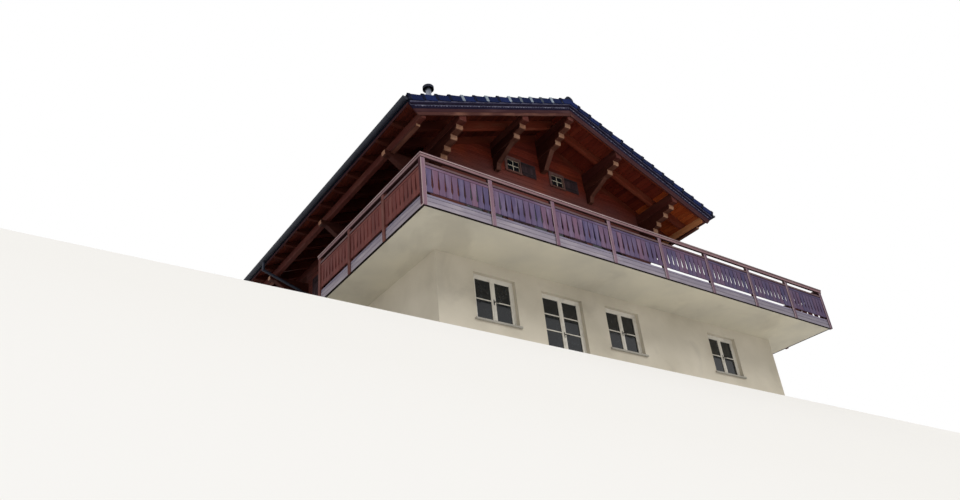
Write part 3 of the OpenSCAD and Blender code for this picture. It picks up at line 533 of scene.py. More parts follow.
# The carved ends carry a beige painted light over their weathered end grain, and their undersides have
# weathered to brown
CONSOLE_NOSE_LIT = StainedTimber("console_nose_weathered_painted_light", "#8a604a", "#aa8066", "#4c2e20", "#bd9a82", 0.5)
CONSOLE_UNDER = StainedTimber("console_underside_stained", "#4e2c22", "#63392c", "#2c1610", "#82594a", 0.35)
BARGE_WOOD = StainedTimber("barge_board_stained", "#3a2125", "#462a2d", "#1d0f12", "#5a4040", 0.35,
                           specular=0.06)
# The lower plank of the barge has faded where the rain drips off it, and on the right slope it darkens to a
# painted shade
BARGE_EDGE = StainedTimber("barge_plank_faded_painted_shade", "#472a27", "#55342f", "#2a1715", "#825a4a", 0.6,
                           specular=0.06, kept="#3a2125", painted_shade_share=0.9, painted_shade_x=(-0.2, 0.4))
# The upper verge board and the barge's top band carry a near-black painted shadow under the tiles and the
# drip strip
VERGE_SHADOW_WOOD = StainedTimber("verge_board_painted_shadow", "#151126", "#1e1829", "#0a080e", "#322a40", 0.25,
                           specular=0.04)
# The front balustrade is lilac-grey, each board in its own way, and towards the right it darkens to a painted
# shade
FRONT_BOARD_WOOD = StainedTimber("balustrade_board_lilac_painted_shade", "#554e6e", "#78596b", "#33294a", "#8a7c94", 0.4,
                                 kept="#332f4a")
# The tongues deep in the joints are near black with painted shade
BOARD_JOINT = StainedTimber("board_tongue_painted_shade", "#251a24", "#30222c", "#150e14", "#443642", 0.1)
SIDE_BOARD_WOOD = StainedTimber("balustrade_board_stained", "#633330", "#733c37", "#361815", "#84564f", 0.3)
# Towards the right the handrail darkens to a painted shade
RAIL_WOOD = StainedTimber("handrail_larch_weathered_painted_shade", "#755a5f", "#836468", "#432b2f", "#a08a86", 0.4,
                          kept="#4a3c3f")
# The lower half of the handrail plank's sides is pale with worn edges and a painted highlight, and darkens
# towards the right to a painted shade
RAIL_EDGE_HIGHLIGHT = StainedTimber("handrail_edge_worn_painted_highlight", "#b39c9c", "#c6b0ab", "#7c6466", "#dacbc5", 0.5,
                          kept="#5c4a4c", painted_shade_share=0.8)
RAIL_BAND = StainedTimber("under_rail_larch_faded", "#826468", "#917377", "#573c41", "#a08a86", 0.3)
# The rails' faces that look down, and the rails low down, carry a dark painted shade
RAIL_UNDER_SHADE = StainedTimber("rail_underside_painted_shade", "#341d1e", "#422727", "#1d0f10", "#574040", 0.2)
CAP_RAIL_WOOD = StainedTimber("cap_rail_larch_stained", "#5c484c", "#6a5356", "#34262a", "#86706e", 0.4)
# Towards the right the front posts darken to a painted shade
POST_WOOD = StainedTimber("post_larch_weathered_painted_shade", "#795d6d", "#8a6e7a", "#453039", "#a3929a", 0.45,
                          kept="#3f3440", painted_shade_share=0.6)
# The front posts' flanks carry a dark painted shade
POST_FLANK_SHADE = StainedTimber("post_flank_painted_shade", "#3e2129", "#4c2c33", "#241117", "#6a4c54", 0.25,
                           specular=0.08)
# The front posts' broken edges carry a pale painted highlight over their wear
POST_EDGE_HIGHLIGHT = StainedTimber("post_edge_worn_painted_highlight", "#a89098", "#bca5a6", "#75606a", "#d2c2c0", 0.5)
SIDE_POST_WOOD = StainedTimber("side_post_larch_stained", "#60342f", "#6e4039", "#351a17", "#8c675e", 0.35)
# Towards the right the fascia darkens to a painted shade
FASCIA_WOOD = StainedTimber("fascia_plank_silvered_painted_shade", "#8b8390", "#a0969f", "#6a616c", "#b5acb0", 0.45,
                            fibre_share=0.3, kept="#6e6974", painted_shade_share=0.6)
# The fascia's upper plank is a darker grey-lilac
FASCIA_TOP = StainedTimber("fascia_top_plank_darker", "#756e7e", "#857e90", "#4c4553", "#a29cae", 0.5)
# The fascia's undersides at the drip edge and under the upper plank carry a near-black painted shade
FASCIA_UNDER = StainedTimber("fascia_underside_painted_shade", "#181210", "#211a17", "#0c0908", "#352c28", 0.2,
                             specular=0.05)
SHUTTER_WOOD = StainedTimber("shutter_board_weathered", "#2e2024", "#3c2c30", "#150d10", "#58474a", 0.35)
CASING_WOOD = StainedTimber("window_casing_weathered", "#5c4140", "#6e504a", "#33211f", "#8e7670", 0.4)
SILL_WOOD = StainedTimber("window_sill_spruce_oiled", "#5a3a34", "#6a463e", "#33201b", "#8a6a60", 0.35)
FRAME_WOOD = StainedTimber("window_frame_larch_varnished", "#341a16", "#42241d", "#1d0d0a", "#5c3a30", 0.2,
                           roughness=0.5, specular=0.2)
FLOOR_WOOD = StainedTimber("attic_floor_spruce_planed", "#a07c52", "#b08a5c", "#7a5a38", "#b89a70", 0.2)
GABLE_LOGS = LogTimber("gable_wall_logs_stained", Grain.ALONG_X)
SIDE_LOGS = LogTimber("side_wall_logs_stained", Grain.ALONG_Y)
WALL_PLASTER = MineralPlaster("wall_plaster_floated", "#cfc7b7", "#beb6a5", stain_share=0.18)
SLAB_PLASTER = PavedPlaster("slab_plaster_painted", "#d0cab8", "#bfbaac", "#928a7e", stain_share=0.28,
                            stain_mm=2400.0)
SILL_STONE = MineralPlaster("window_sill_artificial_stone", "#a8a49b", "#97938a", grit_mm=8.0)
FLOOR_SCREED = MineralPlaster("floor_screed_trowelled", "#8f8b84", "#7f7b75", stain_share=0.1)
ROOF_CLAY = EngobedClay("roof_tile_engobed")
VERGE_CLAY = EngobedClay("verge_tile_engobed", "#0a1230", "#15214c", bloom_share=0.15, bloom_mm=110.0)
# Some of the thick collars carry a pale painted highlight, a glint on their ends, and lichen blooms on them
COLLAR_CLAY = EngobedClay("verge_tile_collar_painted_glint", "#0b1026", "#8d98a2", "#9aa2a8", bloom_share=0.3,
                          bloom_mm=70.0, firings=(0.5, 1.0))
# A sheet's two colours are its own and that of its dull patches; metallic and roughness follow
GUTTER_SHEET = SheetMetal("gutter_sheet_coated", "#161a28", "#282d3c", 0.3, 0.5)
STRIP_SHEET = SheetMetal("verge_strip_sheet", "#3c3b52", "#66637a", 0.2, 0.6, run_mm=120.0)
SCALLOP_SHEET = SheetMetal("verge_scallop_sheet", "#3a3850", "#a5a2b6", 0.2, 0.6, run_mm=90.0)
PIPE_SHEET = SheetMetal("downpipe_sheet_coated", "#1f2433", "#343a49", 0.3, 0.5)
FLUE_STEEL = SheetMetal("flue_steel_rolled", "#8b909c", "#6d7280", 1.0, 0.35)
CAP_STEEL = SheetMetal("flue_cap_steel_sooty", "#12172b", "#222840", 0.4, 0.55)
APRON_LEAD = SheetMetal("flue_apron_lead_dressed", "#3c414c", "#5b606a", 0.3, 0.6)
IRONWORK = SheetMetal("shutter_iron_forged", "#1c1a1a", "#2e2a28", 0.8, 0.5)
SASH_PAINT = BrushedPaint("window_bar_painted", "#c6bda8", "#8e8576")
SASH_WORN = BrushedPaint("window_sash_paint_worn", "#8a7767", "#5e4a40")
FRAME_PAINT = BrushedPaint("lower_frame_painted")
PANE_GLASS = DarkPane("window_pane_float_glass")


@dataclass
class Box:
    """A box between two corners."""

    lo: Vector
    hi: Vector

    @property
    def size(self) -> Vector:
        """The box's three sides."""
        return self.hi - self.lo

    @property
    def centre(self) -> Vector:
        """The box's middle."""
        return (self.lo + self.hi) / 2


def node_box(name: str) -> Box:
    """Returns the box of a CAD node."""
    return Box(*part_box(name))


def plain_mesh(name: str, bm: BMesh) -> Mesh:
    """Turns a working mesh into a plain one and frees it.

    Args:
        name: The plain mesh's name.
        bm: The working mesh.

    Returns:
        The plain mesh.
    """
    mesh = bpy.data.meshes.new(name)
    bm.to_mesh(mesh)
    bm.free()
    return mesh


def told_apart(mesh: Mesh) -> tuple[np.ndarray, np.ndarray]:
    """Tells the separate solids of a mesh apart.

    Args:
        mesh: The mesh.

    Returns:
        The place of each vertex, and the number of its solid in the order of their first vertices.
    """
    places = np.empty(len(mesh.vertices) * 3, np.float32)
    mesh.vertices.foreach_get("co", places)
    ends = np.empty(len(mesh.edges) * 2, np.int64)
    mesh.edges.foreach_get("vertices", ends)
    one, two = ends.reshape(-1, 2).T
    root = np.arange(len(mesh.vertices))
    while True:
        low = np.minimum(root[one], root[two])
        nearer = root.copy()
        np.minimum.at(nearer, one, low)
        np.minimum.at(nearer, two, low)
        nearer = nearer[nearer]
        if (nearer == root).all():
            return places.reshape(-1, 3), np.unique(root, return_inverse=True)[1]
        root = nearer


def merged_copy(name: str) -> BMesh:
    """Copies a CAD node into a working mesh whose flat faces are whole.

    Args:
        name: The node.

    Returns:
        A new mesh with merged corners and outward faces.
    """
    bm = bmesh.new()
    bm.from_mesh(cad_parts[name].data)
    bmesh.ops.remove_doubles(bm, verts=bm.verts, dist=0.02 * MM)
    bmesh.ops.dissolve_limit(bm, angle_limit=math.radians(1.0), verts=bm.verts, edges=bm.edges)
    bmesh.ops.recalc_face_normals(bm, faces=bm.faces)
    return bm


def solid_boxes(name: str) -> list[Box]:
    """Lists the box of each separate solid in a CAD node.

    Args:
        name: The node.

    Returns:
        The boxes, sorted by place so that their order is fixed.
    """
    mesh = plain_mesh("solids", merged_copy(name))
    places, numbers = told_apart(mesh)
    bpy.data.meshes.remove(mesh)
    solids = [places[numbers == number] for number in range(numbers.max() + 1)]
    boxes = [Box(Vector(own.min(0)), Vector(own.max(0))) for own in solids]
    return sorted(boxes, key=lambda b: tuple(round(c, 3) for c in b.centre))


def soften(bm: BMesh, width: float, sharp: float = 30.0) -> None:
    """Breaks a mesh's sharp outer edges.

    Args:
        bm: The mesh.
        width: Width of the broken edge.
        sharp: Least angle in degrees of an edge that is broken.
    """
    edges = [e for e in bm.edges
             if len(e.link_faces) == 2 and e.is_convex and e.calc_face_angle(0.0) > math.radians(sharp)]
    bmesh.ops.bevel(bm, geom=edges, offset=width, segments=1, profile=0.5, affect="EDGES", material=-1,
                    clamp_overlap=True)


def arc(radius: float, start: float, sweep: float, steps: int) -> list[Pair]:
    """Gives points along an arc about the origin.

    Args:
        radius: Its radius.
        start: The angle where it starts.
        sweep: The angle that it covers.
        steps: How many steps it is made of.

    Returns:
        The points, one more than the steps.
    """
    turns = [start + sweep * i / steps for i in range(steps + 1)]
    return [(radius * math.cos(turn), radius * math.sin(turn)) for turn in turns]


def upright(y: float = 0.0, side: int = 1, lean: float = 0.0) -> Matrix:
    """Gives the axes of a prism whose outline lies in X and Z and that grows along +Y.

    Args:
        y: Where it starts.
        side: 1, or -1 to mirror it in X.
        lean: How much each point rises for its distance along the outline's X.

    Returns:
        The matrix from the prism's axes to the row frame.
    """
    return Matrix(((side, 0, 0, 0), (0, 0, 1, y), (lean, 1, 0, 0), (0, 0, 0, 1)))


def add_box(bm: BMesh, lo: Sequence[float], hi: Sequence[float], slot: int = 0) -> None:
    """Adds a box.

    Args:
        bm: The mesh that gets it.
        lo: Its lowest corner.
        hi: Its highest corner.
        slot: Material slot of its faces.
    """
    lo, hi = Vector(lo), Vector(hi)
    made = bmesh.ops.create_cube(bm, size=1.0)["verts"]
    for vert in made:
        vert.co = Vector((lo[i] if vert.co[i] < 0 else hi[i] for i in range(3)))
    for face in {f for v in made for f in v.link_faces}:
        face.material_index = slot


def add_prism(bm: BMesh, outline: Sequence[Pair], place: Matrix, depth: float, slot: int = 0) -> None:
    """Adds a prism over a flat outline, its faces outward.

    Args:
        bm: The mesh that gets it.
        outline: Corners in the prism's own X and Y.
        place: Matrix from the prism's own axes to the row frame; the prism grows along its +Z.
        depth: Length of the prism.
        slot: Material slot of its faces.
    """
    low, high = ([bm.verts.new(place @ Vector((x, y, z))) for x, y in outline] for z in (0.0, depth))
    count = len(outline)
    faces = [bm.faces.new(low[::-1]), bm.faces.new(high)]
    for i in range(count):
        j = (i + 1) % count
        faces.append(bm.faces.new((low[i], low[j], high[j], high[i])))
    bmesh.ops.recalc_face_normals(bm, faces=faces)
    for face in faces:
        face.material_index = slot


def add_rod(bm: BMesh, start: Vector, end: Vector, radius: float, sides: int = 10) -> None:
    """Adds a closed round rod.

    Args:
        bm: The mesh that gets it.
        start: Middle of its first end.
        end: Middle of its other end.
        radius: Its radius.
        sides: Faces round it.
    """
    axis = end - start
    turn = axis.to_track_quat("Z", "Y").to_matrix().to_4x4()
    ring = arc(radius, 0.0, 2 * math.pi, sides)[:-1]
    add_prism(bm, ring, Matrix.Translation(start) @ turn, axis.length)


def add_lathe(bm: BMesh, profile: Sequence[Pair], foot: Vector, sides: int, slot: int = 0) -> None:
    """Adds a closed turned body.

    Args:
        bm: The mesh that gets it.
        profile: Radius and height of its outline, from the axis at its foot to the axis at its top.
        foot: The place of its axis at height 0.
        sides: Faces round it.
        slot: Material slot of its faces.
    """
    rings = []
    for radius, z in profile:
        points = arc(radius, 0.0, 2 * math.pi, sides)[:-1] if radius else [(0.0, 0.0)]
        rings.append([bm.verts.new(foot + Vector((x, y, z))) for x, y in points])
    faces = []
    for low, high in zip(rings, rings[1:]):
        for i in range(sides):
            j = (i + 1) % sides
            corners = [low[i % len(low)], low[j % len(low)], high[j % len(high)], high[i % len(high)]]
            faces.append(bm.faces.new(list(dict.fromkeys(corners))))
    bmesh.ops.recalc_face_normals(bm, faces=faces)
    for face in faces:
        face.material_index = slot


def lay_grain(mesh: Mesh, grain: Grain, seed: int) -> Mesh:
    """Gives each solid of a mesh its own grain coordinates and tint.

    Args:
        mesh: The mesh.
        grain: Which way its fibres run.
        seed: Seed of the solids' tints and of the places of their patterns.

    Returns:
        The same mesh.
    """
    places, number = told_apart(mesh)
    count = number.max() + 1
    draw = np.random.default_rng(seed)
    shift = draw.uniform(0.0, 40.0, (count, 3))[number]
    tints = draw.uniform(0.0, 1.0, count)[number]
    x, y, z = places.T
    if grain is Grain.DOWN_SLOPE:
        out = np.sign(np.bincount(number, x) / np.bincount(number))[number] * x
        fall, level = math.sin(ROOF_PITCH), math.cos(ROOF_PITCH)
        own = (out * level - z * fall, y, out * fall + z * level)
    else:
        own = {Grain.ALONG_X: (x, y, z), Grain.ALONG_Y: (y, x, z), Grain.UPRIGHT: (z, x, y)}[grain]
    layer = mesh.attributes.new("grain", "FLOAT_VECTOR", "POINT")
    layer.data.foreach_set("vector", (np.stack(own, 1) + shift).astype(np.float32).ravel())
    if "tint" not in mesh.attributes:
        layer = mesh.attributes.new("tint", "FLOAT", "POINT")
        layer.data.foreach_set("value", tints.astype(np.float32))
    return mesh


def add_piece(name: str, source: BMesh | Mesh, finishes: Sequence[Finish], slot: str,
              replaced: Iterable[str] = ()) -> None:
    """Makes a finished piece of a mesh and sets it on the frame.

    Args:
        name: The piece's name.
        source: Its mesh, in the row frame; a working mesh is freed.
        finishes: Its finishes, one for each material slot.
        slot: The record's material slot; not used.
        replaced: CAD nodes that it stands for.
    """
    mesh = source if isinstance(source, Mesh) else plain_mesh(name, source)
    mesh.name = name
    piece = bpy.data.objects.new(name, mesh)
    bpy.context.scene.collection.objects.link(piece)
    places = np.zeros(len(mesh.polygons), np.int32)
    mesh.polygons.foreach_get("material_index", places)
    mesh.materials.clear()
    for finish in finishes:
        mesh.materials.append(finish.material())
    mesh.polygons.foreach_set("material_index", places)
    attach(piece, "root")
    for node in replaced:
        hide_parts(node)
    LOG.info("%s: %d vertices", name, len(mesh.vertices))


def dress(name: str, finish: Finish) -> None:
    """Gives a CAD node its finish.

    Args:
        name: The node.
        finish: Its finish.
    """
    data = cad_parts[name].data
    data.materials.clear()
    data.materials.append(finish.material())
    LOG.info("%s: dressed as %s", name, finish.name)


@dataclass
class Rows:
    """Sets copies of one shape in rows with Geometry Nodes, each with a tint and a small wobble."""

    tree: NodeTree = field(init=False)

    def __post_init__(self) -> None:
        """Builds the tree with its named inputs."""
        tree = self.tree = bpy.data.node_groups.new("rows_of_pieces", "GeometryNodeTree")
        for name, kind in (("Geometry", "Geometry"), ("Count", "Int"), ("Rows", "Int"), ("Step", "Vector"),
                           ("Row step", "Vector"), ("Row shift", "Vector"), ("Wobble", "Vector"),
                           ("Turn", "Vector"), ("Seed", "Int"), ("Material", "Material")):
            tree.interface.new_socket(name, in_out="INPUT", socket_type=f"NodeSocket{kind}")
        tree.interface.new_socket("Geometry", in_out="OUTPUT", socket_type="NodeSocketGeometry")
        given = tree.nodes.new("NodeGroupInput").outputs
        row = add_node(tree, "GeometryNodeMeshLine", {"Count": given["Count"], "Offset": given["Step"]})
        column = add_node(tree, "GeometryNodeMeshLine", {"Count": given["Rows"], "Offset": given["Row step"]})
        index = add_node(tree, "GeometryNodeInputIndex")
        odd = add_node(tree, "ShaderNodeMath", {0: index, 1: 2.0}, operation="MODULO")
        shift = add_node(tree, "ShaderNodeVectorMath", {0: given["Row shift"], "Scale": odd},
                         operation="SCALE")
        moved = add_node(tree, "GeometryNodeSetPosition", {"Geometry": column, "Offset": shift})
        lines = add_node(tree, "GeometryNodeInstanceOnPoints", {"Points": moved, "Instance": row})
        points = add_node(tree, "GeometryNodeRealizeInstances", {"Geometry": lines})
        drawn = []
        for most in (given["Wobble"], given["Turn"]):
            least = add_node(tree, "ShaderNodeVectorMath", {0: most, "Scale": -1.0}, operation="SCALE")
            drawn.append(add_node(tree, "FunctionNodeRandomValue", {0: least, 1: most, "Seed": given["Seed"]},
                                  data_type="FLOAT_VECTOR"))
        loose = add_node(tree, "GeometryNodeSetPosition", {"Geometry": points, "Offset": drawn[0]})
        copies = add_node(tree, "GeometryNodeInstanceOnPoints",
                          {"Points": loose, "Instance": given["Geometry"], "Rotation": drawn[1]})
        tint = add_node(tree, "FunctionNodeRandomValue", {"Seed": given["Seed"]}, 1, data_type="FLOAT")
        marked = add_node(tree, "GeometryNodeStoreNamedAttribute",
                          {"Geometry": copies, "Name": "tint", "Value": tint}, data_type="FLOAT",
                          domain="INSTANCE")
        real = add_node(tree, "GeometryNodeRealizeInstances", {"Geometry": marked})
        made = add_node(tree, "GeometryNodeSetMaterial", {"Geometry": real, "Material": given["Material"]})
        add_node(tree, "NodeGroupOutput", {"Geometry": made})

    def lay(self, one: BMesh, origin: Vector, finish: Finish, count: int, step: Sequence[float],
            rows: int = 1, row_step: Sequence[float] = (0, 0, 0), row_shift: Sequence[float] = (0, 0, 0),
            wobble: Sequence[float] = (0, 0, 0), turn: Sequence[float] = (0, 0, 0),
            seed: int = 1) -> Mesh:
        """Sets copies of a shape in rows.

        Args:
            one: The shape about its own origin; it is freed.
            origin: Where the first copy's origin goes.
            finish: The copies' finish.
            count: Copies in a row.
            step: From one copy to the next.
            rows: How many rows.
            row_step: From one row to the next.
            row_shift: How far every second row is moved.
            wobble: Most that a copy is out of place.
            turn: Most that a copy is turned, in radians about each axis.
            seed: Seed of the tints and wobbles.

        Returns:
            One plain mesh in the row frame.
        """
        mesh = plain_mesh("row_shape", one)
        holder = bpy.data.objects.new("row_holder", mesh)
        bpy.context.scene.collection.objects.link(holder)
        modifier = holder.modifiers.new("rows", "NODES")
        modifier.node_group = self.tree
        values = {"Count": count, "Rows": rows, "Step": tuple(step), "Row step": tuple(row_step),
                  "Row shift": tuple(row_shift), "Wobble": tuple(wobble), "Turn": tuple(turn), "Seed": seed,
                  "Material": finish.material()}
        for item in self.tree.interface.items_tree:
            if item.in_out == "INPUT" and item.name in values:
                modifier[item.identifier] = values[item.name]
        holder.update_tag()
        seen = holder.evaluated_get(bpy.context.evaluated_depsgraph_get())
        made = bpy.data.meshes.new_from_object(seen)
        holder.modifiers.remove(modifier)
        bpy.data.objects.remove(holder)
        bpy.data.meshes.remove(mesh)
        made.transform(Matrix.Translation(origin))
        return made


def toned(row: Mesh, tones: Sequence[float]) -> None:
    """Gives each copy of a laid row a set tint in the place of the drawn one.

    Args:
        row: What Rows.lay returned.
        tones: The copies' tints, in the row's order.
    """
    tints = row.attributes["tint"].data
    each = len(tints) // len(tones)
    tints.foreach_set("value", [tone for tone in tones for _ in range(each)])


def joined(meshes: Sequence[Mesh], slots: Sequence[int] | None = None) -> Mesh:
    """Joins plain meshes with their tints into one, and removes them.

    Args:
        meshes: The meshes.
        slots: The material slot of each mesh's faces; all 0 if left out.

    Returns:
        One mesh.
    """
    bm = bmesh.new()
    for number, mesh in enumerate(meshes):
        start = len(bm.faces)
        bm.from_mesh(mesh)
        bpy.data.meshes.remove(mesh)
        bm.faces.ensure_lookup_table()
        for index in range(start, len(bm.faces)):
            bm.faces[index].material_index = slots[number] if slots else 0
    return plain_mesh("joined", bm)


@dataclass
class Masonry:
    """The rendered storey: its walls, floor and the terrace slab."""

    walls: tuple[str, ...] = ("lower_front_wall", "lower_left_wall", "lower_back_wall", "lower_right_wall",
                              "wing_right_wall", "wing_back_wall")

    def build(self) -> None:
        """Dresses the storey."""
        for name in self.walls:
            dress(name, WALL_PLASTER)
        dress("ground_floor", FLOOR_SCREED)
        dress("terrace_slab", SLAB_PLASTER)


Pick = Callable[[Vector, Vector], int]


@dataclass
class Timbers:
    """Posts, rails, planks, purlins, rafters and consoles, with softened edges and their own grain."""

    edge: float = 5 * MM
    beam_edge: float = 8 * MM
    carved_edge: float = 9 * MM
    post_edge: float = 12 * MM
    board_edge: float = 4 * MM
    # Heights below the handrail's top: half its plank, the plank, the board on edge, the gap, the cap plank
    rail_half_plank: float = 22 * MM
    rail_plank: float = 44 * MM
    rail_board: float = 113 * MM
    rail_gap: float = 282 * MM
    cap_plank: float = 354 * MM
    drip_h: float = 30 * MM
    drip_hidden: float = 20 * MM
    fascia_top_h: float = 66 * MM
    # From the upper walls to where a purlin and a console count as outside
    purlin_out: float = 0.8
    console_out: float = 0.47

    def worn(self, node: str, finishes: Sequence[Finish], slot: str, grain: Grain, seed: int,
             pick: Pick | None = None, width: float | None = None, cut: float | None = None) -> None:
        """Stands a softened copy in for a CAD node.

        Args:
            node: The node.
            finishes: The finishes of its faces.
            slot: The record's material slot.
            grain: Which way its fibres run.
            seed: Seed of its tints.
            pick: Gives the place in finishes for a face's middle and direction; the first if left out.
            width: Width of its rounding.
            cut: Height at which its faces are split, so that two finishes can meet there.
        """
        bm = merged_copy(node)
        soften(bm, width or self.edge)
        if cut:
            bmesh.ops.bisect_plane(bm, geom=[*bm.verts, *bm.edges, *bm.faces], plane_co=(0, 0, cut),
                                   plane_no=(0, 0, 1))
        if pick:
            for face in bm.faces:
                face.material_index = pick(face.calc_center_median(), face.normal)
        add_piece(f"worn_{node}", lay_grain(plain_mesh(node, bm), grain, seed), finishes, slot, [node])

    def rails(self) -> None:
        """Makes the handrail's plank and the board under it, the cap planks, and the rails behind them."""
        top = node_box("front_rails").hi.z
        finishes = [RAIL_WOOD, RAIL_EDGE_HIGHLIGHT, RAIL_BAND, RAIL_UNDER_SHADE, CAP_RAIL_WOOD]
        levels = ((self.rail_half_plank, 0), (self.rail_plank, 1), (self.rail_board, 2), (self.rail_gap, 4),
                  (self.cap_plank, 5))

        def pick(middle: Vector, way: Vector) -> int:
            """Picks by height below the top; what looks down gets painted shade and what looks up is grey.

            Args:
                middle: A face's middle.
                way: Its direction.

            Returns:
                The place in finishes.
            """
            if way.z < -0.5:
                return 3
            if way.z > 0.8:
                return 0
            return next((slot for reach, slot in levels if top - middle.z < reach), 3)

        for node, grain, seed in (("front_rails", Grain.ALONG_X, 14), ("side_rails", Grain.ALONG_Y, 15),
                                  ("back_rails", Grain.ALONG_X, 16)):
            field_wood = FRONT_BOARD_WOOD if node == "front_rails" else SIDE_BOARD_WOOD
            self.worn(node, [*finishes, field_wood], "ochre_wood", grain, seed, pick,
                      cut=top - self.rail_half_plank)

    def fascias(self) -> None:
        """Makes the slab's edge planks: two silvered, a darker one above them, and undersides with painted
        shade.
        """
        box = node_box("front_fascia")
        low, top = box.lo.z + self.drip_h, box.hi.z - self.fascia_top_h

        def pick(middle: Vector, way: Vector) -> int:
            """Picks painted shade for the undersides at the drip edge and under the upper plank, and the
            darker finish for the upper plank.
            """
            return 2 if way.z < -0.5 and not low < middle.z < top - self.drip_hidden else int(middle.z > top)

        for node, grain, seed in (("front_fascia", Grain.ALONG_X, 17), ("side_fascia", Grain.ALONG_Y, 18),
                                  ("back_fascia", Grain.ALONG_X, 19)):
            self.worn(node, [FASCIA_WOOD, FASCIA_TOP, FASCIA_UNDER], "weathered_wood", grain, seed, pick)

    def carried(self) -> None:
        """Makes the purlins, the consoles under them, the rafters and the eave boards."""
        inner = node_box("upper_right_wall").hi.x + self.purlin_out
        reach = -node_box("upper_front_wall").lo.y + self.console_out

        def painted_lit(middle: Vector, way: Vector) -> int:
            """Picks the pale painted sunlight for the inner side of the right-hand eave purlin."""
            return int(middle.x > inner and way.x < -0.5)

        def nose(middle: Vector, way: Vector) -> int:
            """Picks painted shade for the gable consoles' sides, a beige painted light for their outer ends,
            and brown for their other faces.
            """
            return 0 if abs(way.x) > 0.7 else 1 if abs(way.y) > 0.5 and abs(middle.y) > reach else 2

        def tip(middle: Vector, way: Vector) -> int:
            """Picks the beige painted light for the ends of the side consoles, and painted shade for the
            rest.
            """
            return int(abs(way.x) > 0.8 and abs(middle.x) > inner)

        self.worn("purlins", [PURLIN_WOOD, PURLIN_PAINTED_SUNLIGHT], "red_brown_wood", Grain.ALONG_Y, 20, painted_lit,
                  self.beam_edge)
        self.worn("gable_consoles", [CONSOLE_SIDE_SHADE, CONSOLE_NOSE_LIT, CONSOLE_UNDER], "ochre_wood", Grain.ALONG_Y,
                  21, nose, self.carved_edge)
        self.worn("side_consoles", [CONSOLE_SIDE_SHADE, CONSOLE_NOSE_LIT], "red_brown_wood", Grain.ALONG_X, 22, tip,
                  self.carved_edge)
        self.worn("rafters", [RAFTER_WOOD], "soffit_wood", Grain.DOWN_SLOPE, 23, width=self.beam_edge)
        self.worn("eave_boards", [BARGE_WOOD], "red_brown_wood", Grain.ALONG_Y, 25, width=self.board_edge)

    def build(self) -> None:
        """Makes the worn copies."""

        def flank(middle: Vector, way: Vector) -> int:
            """Picks a dark painted shade for a front post's flanks and a pale painted highlight for its
            edges.
            """
            return 1 if abs(way.x) > 0.95 else 2 if abs(way.x) > 0.3 else 0

        self.worn("front_posts", [POST_WOOD, POST_FLANK_SHADE, POST_EDGE_HIGHLIGHT], "weathered_wood", Grain.UPRIGHT, 11,
                  flank, self.post_edge)
        self.worn("side_posts", [SIDE_POST_WOOD], "red_brown_wood", Grain.UPRIGHT, 12)
        self.worn("back_posts", [SIDE_POST_WOOD], "red_brown_wood", Grain.UPRIGHT, 13)
        self.worn("attic_floor", [FLOOR_WOOD], "soffit_wood", Grain.ALONG_X, 80)
        self.rails()
        self.fascias()
        self.carried()
        for wall, logs in (("front", GABLE_LOGS), ("back", GABLE_LOGS), ("left", SIDE_LOGS),
                           ("right", SIDE_LOGS)):
            dress(f"upper_{wall}_wall", logs)


